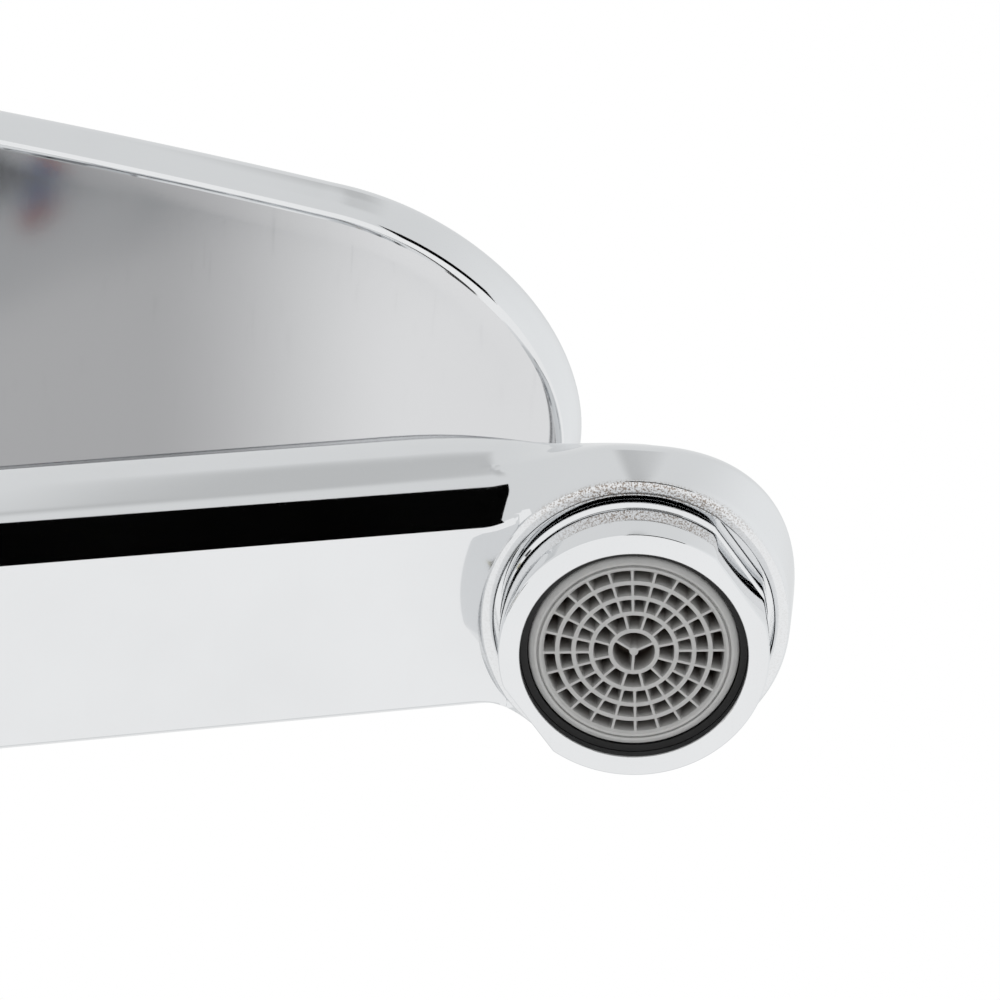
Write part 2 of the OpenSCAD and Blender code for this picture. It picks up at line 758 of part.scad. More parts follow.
module handle() {
    color([0.82, 0.83, 0.85]) difference() {
        union() {
            difference() {
                union() {
                    handle_cup();
                    handle_blade();
                }
                // Lower rim, cut at a slant so that the lifted cup clears the bonnet
                translate([0, 0, pivot_h]) rotate([0, lift_angle / 2, 0])
                    translate([-body_d, -body_d, cup_rim_up - 2 * body_d])
                        cube([2 * body_d, 2 * body_d, 2 * body_d]);
                // Hollow that rides over the dome of the bonnet
                translate([0, 0, pivot_h]) sphere(r = dome_r + dome_gap);
                disc(cavity_d, pivot_h, cavity_top);
            }
            // Socket for the stem, and the lug that the grub screw is in
            disc(socket_d, pivot_h + socket_low, cavity_top + cut);
            translate([0, 0, plug_h]) rotate([0, 90, 0])
                disc(lug_d, 0, cavity_d / 2 + cup_wall);
        }
        translate([-stem_w / 2 - fit_gap, -stem_w / 2 - fit_gap, pivot_h + socket_low - cut])
            cube([stem_w + 2 * fit_gap, stem_w + 2 * fit_gap, stem_up - socket_low + cut]);
        translate([0, 0, plug_h]) rotate([0, 90, 0]) {
            disc(screw_d + 2 * fit_gap, 0, body_d);
            disc(plug_d + 2 * fit_gap, body_d / 2 - plug_recess - plug_depth, body_d);
        }
    }
}

// Round cup of the handle, with a rounded top edge
module handle_cup() {
    low = pivot_h - body_d / 2;
    rotate_extrude() {
        square_to(body_d / 2 - cup_round, low, cup_top);
        square_to(body_d / 2, low, cup_top - cup_round);
        intersection() {
            translate([body_d / 2 - cup_round, cup_top - cup_round]) circle(r = cup_round);
            square_to(body_d / 2, low, cup_top);
        }
    }
}

// Half outline of a cylinder between two heights
module square_to(r, low, high) {
    translate([0, low]) square([r, high - low]);
}

// Long blade of the handle, hollow underneath
module handle_blade() {
    stations = [tip_x / 3, tip_x * 2 / 3, tip_x];
    difference() {
        union() {
            // The rounded top of the cup runs out into the blade
            hull() {
                translate([0, 0, cup_top - cup_round]) rotate_extrude($fn = 32) intersection() {
                    translate([body_d / 2 - cup_round, 0]) circle(r = cup_round, $fn = 32);
                    square_to(body_d / 2, -cup_round, cup_round);
                }
                handle_slice(stations[0]);
            }
            for (i = [0 : len(stations) - 2]) hull() {
                handle_slice(stations[i]);
                handle_slice(stations[i + 1]);
            }
            hull() for (i = [0 : arc_steps - 1])
                handle_slice(tip_x + handle_tip_len * sin(90 * i / arc_steps)
                    * (1 - slice / handle_tip_len));
        }
        intersection() {
            linear_extrude(handle_crest_h)
                polygon(handle_plan(handle_rim, body_d / 2 + handle_rim));
            translate([handle_crest_x, 0, handle_crest_h - handle_arc_r]) rotate([90, 0, 0])
                cylinder(r = handle_arc_r - handle_skirt + handle_hollow, h = 2 * body_d,
                    center = true, $fn = 8 * $fn);
        }
    }
}

module grub_screw() {
    color([0.35, 0.35, 0.36]) translate([0, 0, plug_h]) rotate([0, 90, 0]) difference() {
        disc(screw_d, stem_w / 2 + fit_gap, stem_w / 2 + screw_len);
        // Hexagon socket
        translate([0, 0, stem_w / 2 + screw_len / 2]) cylinder(d = screw_d / 2, h = screw_len,
            $fn = 6);
    }
}

// One half of the round indicator plug; side is 1 or -1
module plug_half(side) {
    translate([0, 0, plug_h]) rotate([0, 90, 0]) intersection() {
        disc(plug_d, body_d / 2 - plug_recess - plug_depth, body_d / 2 - plug_recess);
        translate([-plug_d, side > 0 ? fit_gap / 2 : -plug_d - fit_gap / 2, 0])
            cube([2 * plug_d, plug_d, body_d]);
    }
}

module indicator_red() {
    color([0.80, 0.12, 0.10]) plug_half(1);
}

module indicator_blue() {
    color([0.12, 0.25, 0.70]) plug_half(-1);
}

// Horseshoe that leaves a way for the two hoses, between two depths
module horseshoe(low, high) {
    difference() {
        disc(clamp_d, low, high);
        translate([-slot_back, 0, 0]) disc(clamp_slot_w, low - cut, high + cut);
        translate([-slot_back - clamp_d, -clamp_slot_w / 2, low - cut])
            cube([clamp_d, clamp_slot_w, high - low + 2 * cut]);
        translate([stud_front, 0, 0]) disc(stud_d + 2 * run_gap, low - cut, high + cut);
    }
}

module clamp_rubber() {
    color([0.10, 0.10, 0.10]) horseshoe(-clamp_drop - rubber_h, -clamp_drop);
}

module clamp_plate() {
    color([0.70, 0.70, 0.66])
        horseshoe(-clamp_drop - rubber_h - plate_t, -clamp_drop - rubber_h);
}

module clamp_nut() {
    top = -clamp_drop - rubber_h - plate_t;
    color([0.76, 0.66, 0.38]) translate([stud_front, 0, 0]) difference() {
        translate([0, 0, top - nut_h])
            cylinder(d = nut_flats / cos(30), h = nut_h, $fn = 6);
        disc(stud_d + 2 * fit_gap, top - nut_h - cut, top + cut);
    }
}

base_ring();
base_gasket();
body_core();
lower_slide_ring();
upper_slide_ring();
lower_spout_seal();
upper_spout_seal();
swivel_stop_screw();
fixing_stud();
bonnet();
port_seals();
cartridge_base();
fixed_disc();
cartridge_housing();
cartridge_nut();
spout();
aerator_ring();
aerator_gasket();
aerator_grid();
flow_plate();
aerator_washer();
cartridge_rotor();
pivot_pin();
moving_disc();
disc_carrier();
stem();
handle();
grub_screw();
indicator_red();
indicator_blue();
clamp_rubber();
clamp_plate();
clamp_nut();
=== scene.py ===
import math

import bmesh
import bpy
import numpy as np
from mathutils import Matrix


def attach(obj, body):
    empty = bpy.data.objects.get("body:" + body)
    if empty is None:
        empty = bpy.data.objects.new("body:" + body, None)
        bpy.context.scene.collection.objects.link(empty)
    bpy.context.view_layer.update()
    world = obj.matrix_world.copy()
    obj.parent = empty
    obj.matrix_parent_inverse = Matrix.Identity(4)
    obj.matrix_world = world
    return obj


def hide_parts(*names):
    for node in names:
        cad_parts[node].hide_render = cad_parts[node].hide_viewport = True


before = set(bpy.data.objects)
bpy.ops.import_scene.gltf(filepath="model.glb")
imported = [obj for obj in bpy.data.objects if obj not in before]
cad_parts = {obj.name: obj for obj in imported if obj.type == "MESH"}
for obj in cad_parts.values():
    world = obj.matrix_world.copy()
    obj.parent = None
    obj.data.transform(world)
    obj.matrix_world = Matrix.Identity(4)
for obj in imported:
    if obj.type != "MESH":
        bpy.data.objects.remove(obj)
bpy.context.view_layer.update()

# Base ring and its gasket.
# A turned brass ring, polished and chromed, that stands on the worktop and spreads the pull
# of the stud. A flat black rubber ring in a groove of its underside seals it to the worktop.

body_r = 26.0
base_r = 27.5
base_h = 6.0
foot_r, foot_play = 20.0, 0.05
gasket_out, gasket_in, gasket_h = 25.5, 22.0, 1.5


def band(rows, columns, close_rows=False, close_columns=True):
    """Quads between neighbouring points of a grid, the last row or column joined to the first
    where it is closed."""
    i = np.arange(rows if close_rows else rows - 1)
    j = np.arange(columns if close_columns else columns - 1)
    a, b = np.meshgrid(i, j, indexing="ij")
    c, d = (a + 1) % rows, (b + 1) % columns
    quads = [a * columns + b, a * columns + d, c * columns + d, c * columns + b]
    return np.stack(quads, axis=-1).reshape(-1, 4)


def rounded(corners, steps=7):
    """Profile through corners (radius, height, rounding): each is cut back by its rounding along
    both sides, and a quadratic curve joins the cuts."""
    c = np.array(corners, float)
    p, q = c[:, :2], c[:, 2:]
    back, on = np.roll(p, 1, axis=0) - p, np.roll(p, -1, axis=0) - p
    back = p + q * back / np.linalg.norm(back, axis=1, keepdims=True)
    on = p + q * on / np.linalg.norm(on, axis=1, keepdims=True)
    t = np.linspace(0, 1, steps)[:, None, None]
    curve = (1 - t) ** 2 * back + 2 * t * (1 - t) * p + t ** 2 * on
    return curve.transpose(1, 0, 2).reshape(-1, 2)


def circle(r, a, z):
    """Points (r cos a, r sin a, z) for one or more radii, angles and heights."""
    return np.stack([r * np.cos(a), r * np.sin(a), z + 0 * a], axis=-1)


def turned(profile, count=160, closed=True):
    """Surface of revolution: each profile point (radius, height) becomes a circle."""
    points = circle(profile[:, :1], np.arange(count) * 2 * np.pi / count, profile[:, 1:])
    return points.reshape(-1, 3), band(len(profile), count, close_rows=closed)


def outward(points, quads):
    """Turns the quads of a closed shell round where the volume that they enclose, summed as
    tetrahedra from the origin, is negative."""
    p = points[quads]
    halves = [(p[:, 0], p[:, 1], p[:, 2]), (p[:, 0], p[:, 2], p[:, 3])]
    volume = sum(np.einsum("ij,ij->", a, np.cross(b, c)) for a, b, c in halves)
    return quads if volume > 0 else quads[:, ::-1]


def new_object(name, data):
    """An object of the scene."""
    thing = bpy.data.objects.new(name, data)
    bpy.context.scene.collection.objects.link(thing)
    return thing


def make(name, shells, materials, body, nodes, sharp=35.0):
    """One piece from closed shells (points in mm, quads, optional material numbers), with doubled
    points at seams and poles merged."""
    points, quads, shares, start = [], [], [], 0
    for shell in shells:
        points.append(np.asarray(shell[0]))
        quads.append(outward(points[-1], shell[1]) + start)
        shares.append(shell[2] if len(shell) > 2 else np.zeros(len(shell[1]), int))
        start += len(points[-1])
    points, quads = np.concatenate(points) * 0.001, np.concatenate(quads)
    mesh = bpy.data.meshes.new(name)
    mesh.from_pydata(points, [], quads.tolist())
    for material in materials:
        mesh.materials.append(material)
    mesh.polygons.foreach_set("material_index", np.concatenate(shares).astype(np.int32))
    work = bmesh.new()
    work.from_mesh(mesh)
    bmesh.ops.remove_doubles(work, verts=work.verts, dist=1e-7)
    work.to_mesh(mesh)
    work.free()
    mesh.shade_smooth()
    mesh.set_sharp_from_angle(angle=math.radians(sharp))
    piece = new_object(name, mesh)
    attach(piece, body)
    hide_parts(*nodes)


def begin_material(name, metallic=0.0):
    """A new material: its node tree, its Principled shader and its Object coordinates in metres."""
    material = bpy.data.materials.new(name)
    material.use_nodes = True
    tree = material.node_tree
    place, shader = tree.nodes.new("ShaderNodeTexCoord"), tree.nodes["Principled BSDF"]
    shader.inputs["Metallic"].default_value = metallic
    return material, tree, shader, place.outputs["Object"]


def add(tree, kind, inputs=None, **settings):
    """A shader node with its settings, and its inputs either joined to a socket or set to a value."""
    node = tree.nodes.new("ShaderNode" + kind)
    for key, value in settings.items():
        setattr(node, key, value)
    for key, value in (inputs or {}).items():
        if isinstance(value, bpy.types.NodeSocket):
            tree.links.new(value, node.inputs[key])
        else:
            node.inputs[key].default_value = value
    return node


def remap(tree, value, low, high, to_low, to_high, smooth=False):
    """A value taken from one range to another and held inside it."""
    kind = "SMOOTHSTEP" if smooth else "LINEAR"
    inputs = {0: value, 1: low, 2: high, 3: to_low, 4: to_high}
    return add(tree, "MapRange", inputs, interpolation_type=kind, clamp=True).outputs[0]


def blend_colours(tree, factor, first, second):
    """A colour between two colours."""
    return add(tree, "Mix", {0: factor, 6: first, 7: second}, data_type="RGBA").outputs[2]


def reckon(tree, operation, *values):
    """A Math node on up to three values."""
    return add(tree, "Math", dict(enumerate(values)), operation=operation).outputs[0]


def noise(tree, where, scale, detail=2.0, warp=0.0):
    """Noise at a place, from 0 to 1."""
    inputs = {"Vector": where, "Scale": scale, "Detail": detail, "Distortion": warp}
    return add(tree, "TexNoise", inputs).outputs[0]


def set_tint(tree, shader, factor, first, second):
    """Base colour between two colours."""
    tint = blend_colours(tree, factor, first + (1,), second + (1,))
    tree.links.new(tint, shader.inputs["Base Color"])
    return tint


def set_rough(tree, shader, value, smooth, rough, low=0.3, high=0.7):
    """Roughness that runs from smooth to rough with a value."""
    tree.links.new(remap(tree, value, low, high, smooth, rough), shader.inputs["Roughness"])


def set_bump(tree, shader, height, strength, distance):
    """Relief that only the shading shows."""
    bump = add(tree, "Bump", {"Strength": strength, "Distance": distance, "Height": height})
    tree.links.new(bump.outputs[0], shader.inputs["Normal"])


def make_handling_marks():
    """Group of the marks that use leaves: broad smears, fine specks and short faint scratches,
    each from 0 to 1."""
    group = bpy.data.node_groups.new("handling marks", "ShaderNodeTree")
    group.interface.new_socket("Vector", in_out="INPUT", socket_type="NodeSocketVector")
    for output in ("Smears", "Specks", "Scratches"):
        group.interface.new_socket(output, in_out="OUTPUT", socket_type="NodeSocketFloat")
    enter, leave = group.nodes.new("NodeGroupInput"), group.nodes.new("NodeGroupOutput")
    where = enter.outputs[0]
    smears = noise(group, where, 55.0, 3.0)
    specks = noise(group, where, 2600.0)
    turned_way = add(group, "Mapping", {0: where, 2: (0.5, 0.9, 0.3), 3: (1.0, 0.06, 1.0)})
    lines = noise(group, turned_way.outputs[0], 2200.0, 1.0)
    group.links.new(smears, leave.inputs[0])
    group.links.new(remap(group, specks, 0.62, 0.75, 0.0, 1.0), leave.inputs[1])
    group.links.new(remap(group, lines, 0.66, 0.74, 0.0, 1.0), leave.inputs[2])
    return group


handling_marks = make_handling_marks()


def chrome_finish(name, colour=(0.795, 0.805, 0.815), soft=0.035, smear=0.03):
    """Polished chrome plate: nearly sharp reflections, dulled a little by smears and
    scratches."""
    material, tree, shader, where = begin_material(name, 1.0)
    marks = tree.nodes.new("ShaderNodeGroup")
    marks.node_tree = handling_marks
    tree.links.new(where, marks.inputs[0])
    dull = remap(tree, marks.outputs[0], 0.35, 0.7, soft, soft + smear)
    dull = reckon(tree, "MULTIPLY_ADD", marks.outputs[2], 0.05, dull)
    tree.links.new(dull, shader.inputs["Roughness"])
    darker = tuple(0.95 * c for c in colour)
    smeared = remap(tree, marks.outputs[0], 0.4, 0.7, 0.0, 0.5)
    tint = set_tint(tree, shader, smeared, colour, darker)
    set_bump(tree, shader, noise(tree, where, 130.0, 1.0), 0.12, 0.00004)
    return material, tree, shader, where, tint, dull


def rubber_finish(name, colour):
    """Moulded black rubber: matt, with fine bloom that greys it unevenly and a slightly pebbled
    skin."""
    material, tree, shader, where = begin_material(name)
    bloom = noise(tree, where, 300.0, 5.0)
    pale = tuple(min(1.0, 2.2 * c + 0.01) for c in colour)
    greyed = remap(tree, bloom, 0.45, 0.75, 0.0, 0.6)
    set_tint(tree, shader, greyed, colour, pale)
    set_rough(tree, shader, bloom, 0.55, 0.75)
    pebble = add(tree, "TexVoronoi", {"Vector": where, "Scale": 4000.0})
    set_bump(tree, shader, pebble.outputs[0], 0.25, 0.00003)
    return material


def dress(node, material):
    """Gives a carried-over CAD node its finish, in every slot of its mesh."""
    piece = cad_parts[node]
    if not piece.data.materials:
        piece.data.materials.append(material)
    for place in piece.material_slots:
        place.material = material


polished_chrome = chrome_finish("polished chrome")[0]
black_rubber = rubber_finish("black rubber", (0.022, 0.022, 0.023))

ring_profile = rounded([
    (foot_r + foot_play, 0, 0.15), (gasket_in, 0, 0.15), (gasket_in, gasket_h, 0.1),
    (gasket_out, gasket_h, 0.1), (gasket_out, 0, 0.2), (base_r, 0, 0.3),
    (base_r, base_h, 1.1), (foot_r + foot_play, base_h, 0.3)])
make("base_ring_turned", [turned(ring_profile)], [polished_chrome], "body", ["base_ring"])
dress("base_gasket", black_rubber)

# Core.
# A brass column, turned from bar and left bare, with the inlets, the water passages and the
# chamber for the cartridge drilled in it. Two white acetal rings guide the spout on it and two
# black O-rings seal the spout. A steel screw in its back stops the swivel.


def brass_finish(name, colour, line_scale=1400.0):
    """Bare turned brass: fine rings left by the tool, warm stains and a soft sheen."""
    material, tree, shader, where = begin_material(name, 1.0)
    flat = add(tree, "Mapping", {0: where, 3: (0.02, 0.02, 1.0)})
    rings = noise(tree, flat.outputs[0], line_scale)
    stain = noise(tree, where, 90.0, 4.0)
    dark = tuple(c * k for c, k in zip(colour, (0.72, 0.62, 0.5)))
    stained = remap(tree, stain, 0.4, 0.75, 0.0, 0.8)
    set_tint(tree, shader, stained, colour, dark)
    set_rough(tree, shader, rings, 0.22, 0.42)
    set_bump(tree, shader, rings, 0.35, 0.00003)
    return material


def plastic_finish(name, colour, rough=0.42, speck=0.06):
    """Moulded technical plastic: flow marks and a faint mould texture."""
    material, tree, shader, where = begin_material(name)
    flow = noise(tree, where, 120.0, 4.0, 0.8)
    dark = tuple(c * (1 - 2 * speck) for c in colour)
    streaked = remap(tree, flow, 0.35, 0.7, 0.0, 1.0)
    set_tint(tree, shader, streaked, colour, dark)
    grain = noise(tree, where, 3500.0)
    set_rough(tree, shader, grain, rough - 0.06, rough + 0.08)
    set_bump(tree, shader, grain, 0.2, 0.00002)
    return material


def steel_finish(name, colour, rough=0.25, tarnish=(0.8, 0.8, 0.8)):
    """Plated or ground steel: short grinding lines, cloudy tarnish and worn bright spots."""
    material, tree, shader, where = begin_material(name, 1.0)
    drawn = add(tree, "Mapping", {0: where, 3: (1.0, 1.0, 0.05)})
    lines = noise(tree, drawn.outputs[0], 2500.0)
    cloud = noise(tree, where, 160.0, 4.0)
    dark = tuple(c * k for c, k in zip(colour, tarnish))
    tarnished = remap(tree, cloud, 0.4, 0.7, 0.0, 0.9)
    set_tint(tree, shader, tarnished, colour, dark)
    set_rough(tree, shader, lines, rough - 0.07, rough + 0.1)
    set_bump(tree, shader, lines, 0.2, 0.00002)
    return material


bare_brass = brass_finish("bare turned brass", (0.80, 0.60, 0.27))
white_acetal = plastic_finish("white acetal", (0.86, 0.86, 0.82), 0.35, 0.03)
seal_rubber = rubber_finish("greased seal rubber", (0.028, 0.028, 0.03))
stainless = steel_finish("stainless steel", (0.66, 0.66, 0.65), 0.22)
dress("body_core", bare_brass)
dress("lower_slide_ring", white_acetal)
dress("upper_slide_ring", white_acetal)
dress("lower_spout_seal", seal_rubber)
dress("upper_spout_seal", seal_rubber)
dress("swivel_stop_screw", stainless)

# Fixing stud.
# A zinc-plated steel rod, rolled with an M8 thread over its whole length and screwed into the
# foot of the core.

stud_x, stud_r, stud_low, stud_high = 12.5, 4.0, -62.0, 14.0
thread_pitch, thread_depth = 1.25, 0.62


def threaded_rod(x, r, low, high, pitch, depth):
    """Rod whose radius follows a helix: r less a rounded saw of height over pitch less turn, run
    out into a chamfer at both ends."""
    z = np.linspace(low, high, int((high - low) / pitch * 9) + 1)[:, None]
    count = 40
    a = np.arange(count) * 2 * np.pi / count
    saw = np.abs(((z / pitch - a / (2 * np.pi)) % 1.0) * 2 - 1)
    radius = r - depth * np.clip(1.3 * saw - 0.15, 0, 1)
    radius = np.minimum(radius, r - depth - 0.35 + np.minimum(z - low, high - z))
    points = circle(radius, a, z) + [x, 0, 0]
    ends = [np.broadcast_to([x, 0, end], (1, count, 3)) for end in (low, high)]
    points = np.concatenate([ends[0], points, ends[1]])
    return points.reshape(-1, 3), band(len(points), count)


zinc_plate = steel_finish("yellow zinc plate", (0.70, 0.66, 0.50), 0.34, (0.86, 0.8, 0.66))
make("fixing_stud_threaded",
     [threaded_rod(stud_x, stud_r, stud_low, stud_high, thread_pitch, thread_depth)],
     [zinc_plate], "body", ["fixing_stud"], sharp=50)

# Horseshoe clamp and its nut.
# A stamped zinc-plated plate on a black rubber pad of the same shape, pulled up against the
# underside of the worktop by a hexagonal brass nut on the stud. Both leave a slot for the hoses.

nut_across, nut_top, nut_low, nut_bore = 13.0, -46.5, -54.0, 4.05


def hexagon_nut(x, across, low, high, bore):
    """Nut on a grid of angle and profile: the outer radius follows a hexagon, and both faces fall
    away at 30 degrees outside a circle, as a turned chamfer does."""
    count = 96
    a = np.arange(count) * 2 * np.pi / count
    flat = across / 2 / np.cos((a % (np.pi / 3)) - np.pi / 6)
    round_r = across / 2 * 0.97
    drop = np.maximum(flat - round_r, 0) * math.tan(math.radians(30)) + 0.05
    rows = [(bore, low + 0.5), (bore + 0.5, low), (round_r, low), (flat, low + drop),
            (flat, high - drop), (round_r, high), (bore + 0.5, high), (bore, high - 0.5)]
    points = np.array([circle(r, a, z) for r, z in rows]) + [x, 0, 0]
    return points.reshape(-1, 3), band(len(rows), count, close_rows=True)


dress("clamp_rubber", rubber_finish("clamp pad rubber", (0.03, 0.03, 0.031)))
dress("clamp_plate", steel_finish("stamped zinc plate", (0.62, 0.62, 0.60), 0.36))
make("clamp_nut_turned", [hexagon_nut(stud_x, nut_across, nut_low, nut_top, nut_bore)],
     [brass_finish("nut brass", (0.78, 0.61, 0.30), 900.0)], "clamp", ["clamp_nut"],
     sharp=20)

# Bonnet.
# A thin turned brass cover, polished and chromed, pressed over the top of the core. Its dome is
# a part of a ball round the lever's pivot, so that the cup of the lever rides over it.

pivot_z = 71.5
bonnet_low, bonnet_shoulder, dome_r, dome_wall, dome_open = 55.3, 66.0, 22.8, 1.6, 83.5
bonnet_bore, bonnet_seat = 24.0, 64.5


def bonnet_profile():
    """Outer shoulder and ball, then back down the inside; the ball's arc is
    (r cos t, pivot + r sin t)."""
    out = np.linspace(0, math.asin((dome_open - pivot_z) / dome_r), 28)
    inner_r = dome_r - dome_wall
    into = np.linspace(math.asin((dome_open - pivot_z) / inner_r), 0, 22)
    lower = rounded([(bonnet_bore, bonnet_low, 0.1), (body_r, bonnet_low, 0.25),
                     (body_r, bonnet_shoulder, 1.0), (dome_r, bonnet_shoulder, 0.35),
                     (dome_r, pivot_z, 0.0)])
    ball = np.stack([dome_r * np.cos(out), pivot_z + dome_r * np.sin(out)], axis=1)
    lip = np.array([[ball[-1, 0] - 0.5, dome_open + 0.12]])
    hollow = np.stack([inner_r * np.cos(into), pivot_z + inner_r * np.sin(into)], axis=1)
    end = np.array([[inner_r, bonnet_seat + 0.1], [bonnet_bore, bonnet_seat]])
    return np.concatenate([lower[:-7], ball, lip, hollow, end])


make("bonnet_turned", [turned(bonnet_profile())], [polished_chrome], "body", ["bonnet"])

# Cartridge.
# A plastic housing with two ground ceramic discs, the lower one fixed over the ports and the
# upper one slid and turned by the lever. A brass nut holds it down in the core.

cartridge_white = plastic_finish("cartridge plastic", (0.80, 0.80, 0.76), 0.45, 0.05)
rotor_white = plastic_finish("rotor plastic", (0.76, 0.77, 0.74), 0.40, 0.04)


def ceramic_finish(name, colour):
    """Ground alumina: dense and pale, with a faint lapped sheen and tiny grey grains."""
    material, tree, shader, where = begin_material(name)
    grains = add(tree, "TexVoronoi", {"Vector": where, "Scale": 2800.0})
    grey = tuple(c * 0.9 for c in colour)
    edged = remap(tree, grains.outputs[0], 0.0, 0.3, 1.0, 0.0)
    set_tint(tree, shader, edged, colour, grey)
    set_rough(tree, shader, grains.outputs[0], 0.30, 0.16, 0.0, 0.6)
    shader.inputs["Specular IOR Level"].default_value = 0.6
    return material


disc_ceramic = ceramic_finish("ground ceramic", (0.86, 0.84, 0.78))
dress("port_seals", seal_rubber)
dress("cartridge_base", cartridge_white)
dress("fixed_disc", disc_ceramic)
dress("cartridge_housing", cartridge_white)
dress("cartridge_nut", bare_brass)
dress("cartridge_rotor", rotor_white)
dress("pivot_pin", steel_finish("ground pin steel", (0.68, 0.68, 0.69), 0.16))
dress("moving_disc", disc_ceramic)
dress("disc_carrier", plastic_finish("red carrier plastic", (0.62, 0.12, 0.07), 0.4, 0.1))

# Spout.
# One brass casting, polished and chromed: a collar that turns on the core, a tapering arm with
# a flat floor and slanting sides, and a rounded head over the outlet. The rim of the outlet was
# masked in plating and faced afterwards, and shows a rough, brownish machined grain.

outlet_at = np.array([122.0, 0.0, 64.0])
lean, rise = math.radians(7), math.radians(25.5)
out_x = np.array([math.cos(lean), 0.0, math.sin(lean)])
out_y = np.array([0.0, 1.0, 0.0])
out_z = np.array([-math.sin(lean), 0.0, math.cos(lean)])
floor_rise = 4.4
floor_x, floor_z = outlet_at[0] - floor_rise * math.sin(lean), outlet_at[2] + floor_rise * math.cos(lean)
collar_low, collar_high, collar_bore = 6.3, 55.0, 22.9
rim_r, rim_edge, recess_r, recess_depth, bore_r, bore_depth = 16.0, 0.5, 14.4, 3.2, 12.0, 9.0
floor_half, facet_y, facet_s = 9.9, 12.95, 5.5
wide_y, wide_s, wide_fall, arm_h, arm_end_h = 13.5, 13.0, 5.0, 24.8, 10.6
arm_power, bow = 3.1, 1.3
axis_s = 9.0
shoulder_x, arm_end_x = 94.5, 124.0
fillet_width, facet_round, end_round, foot_round = 2.8, 0.7, 5.0, 0.4
cross_e, arm_sink, head_sink, head_sink_most = -13.0, 0.15, 0.12, 0.4
head_r, head_wide_h, head_top_h, head_power = 16.45, 7.0, 18.4, 1.76
head_squarer, head_lead, rim_skip = 0.45, 0.15, 0.6


def at_outlet(e, n, h):
    """Points given in the outlet's own frame: e forward, n to the left and h up along its axis."""
    e, n, h = np.broadcast_arrays(e, n, h)
    return outlet_at + e[..., None] * out_x + n[..., None] * out_y + h[..., None] * out_z


def from_outlet(p):
    """Where points are in the outlet's own frame: forward, to the left and up along its axis."""
    d = p - outlet_at
    return d @ out_x, d[..., 1], d @ out_z


def smoothed(x, low, high):
    """Smoothstep from 0 at low to 1 at high."""
    t = np.clip((x - low) / (high - low), 0, 1)
    return t * t * (3 - 2 * t)


def soft_max(a, b, k):
    """The greater of two fields, with the crease between them rounded over a width k."""
    h = np.clip(0.5 + 0.5 * (a - b) / k, 0, 1)
    return b + (a - b) * h + k * h * (1 - h)


def floor_at(x):
    """Height of the arm's flat floor."""
    return floor_z + (x - floor_x) * math.tan(rise)


def arm_height(x):
    """Height of the arm over its floor: lower at the collar, and falling off where the head starts."""
    before = 1 - np.clip((x - 20) / (shoulder_x - 20), 0, 1)
    return arm_h + (arm_end_h - arm_h) * smoothed(x, shoulder_x, arm_end_x) - 0.4 * before ** 2


def arm_field(p):
    """Below 0 inside the arm, its floor left out: slanting facets, a side that bows out by a
    power curve to its widest line, and a superelliptic top. The widest line comes down where the
    arm runs into the head."""
    x, y, z = p[..., 0], np.abs(p[..., 1]), p[..., 2]
    s = z - floor_at(x)
    slant = math.atan((facet_y - floor_half) / facet_s)
    facet = (y - floor_half) * math.cos(slant) - s * math.sin(slant)
    wide = wide_s - wide_fall * smoothed(x, 100, arm_end_x)
    over = np.maximum(s - wide, 0) / (arm_height(x) - wide)
    top = wide_y * (((y / wide_y) ** arm_power + over ** arm_power) ** (1 / arm_power) - 1)
    below = np.maximum(wide - s, 0) / (wide - facet_s)
    under = y - wide_y + (wide_y - facet_y) * below ** bow
    side = soft_max(facet, np.where(s > wide, top, under), facet_round)
    return soft_max(side, x - arm_end_x, end_round)


def head_field(p):
    """Below 0 inside the head: a cylinder at the rim that grows squarer up to its widest height,
    and a superelliptic dome over it."""
    e, n, h = from_outlet(p)
    k = np.clip(h / head_wide_h, 0, 1)
    power = 2 + head_squarer * k
    r = (np.abs(e - head_lead * k) ** power + np.abs(n) ** power) ** (1 / power)
    over = np.maximum(h - head_wide_h, 0) / (head_top_h - head_wide_h)
    dome = ((r / head_r) ** head_power + over ** head_power) ** (1 / head_power) - 1
    return np.where(h > head_wide_h, dome * (head_top_h - head_wide_h), r - rim_r - (head_r - rim_r) * k)


def spout_field(p):
    """The arm and head as one body joined by a hollow fillet, cut off below by the arm's floor or
    a plane just over the rim, whichever is lower."""
    joined = -soft_max(-arm_field(p), -head_field(p), fillet_width)
    below = np.minimum(floor_at(p[..., 0]) - p[..., 2], rim_skip - from_outlet(p)[2])
    return soft_max(joined, below, foot_round)


def leave_at(field, centre, way, reach=40.0):
    """Where each ray from a centre first leaves a field: the first change of sign on 80 samples,
    then halving."""
    length = np.zeros(np.broadcast_shapes(centre.shape, way.shape)[:-1])
    low, high, found = length, length + reach, np.zeros(length.shape, bool)
    samples = 80
    for step in np.linspace(0, reach, samples + 1)[1:]:
        out = ~found & (field(centre + way * step) > 0)
        low, high = np.where(out, step - reach / samples, low), np.where(out, step, high)
        found |= out
    for _ in range(16):
        middle = (low + high) / 2
        inside = field(centre + way * middle[..., None]) < 0
        low, high = np.where(inside, middle, low), np.where(inside, high, middle)
    return centre + way * low[..., None]


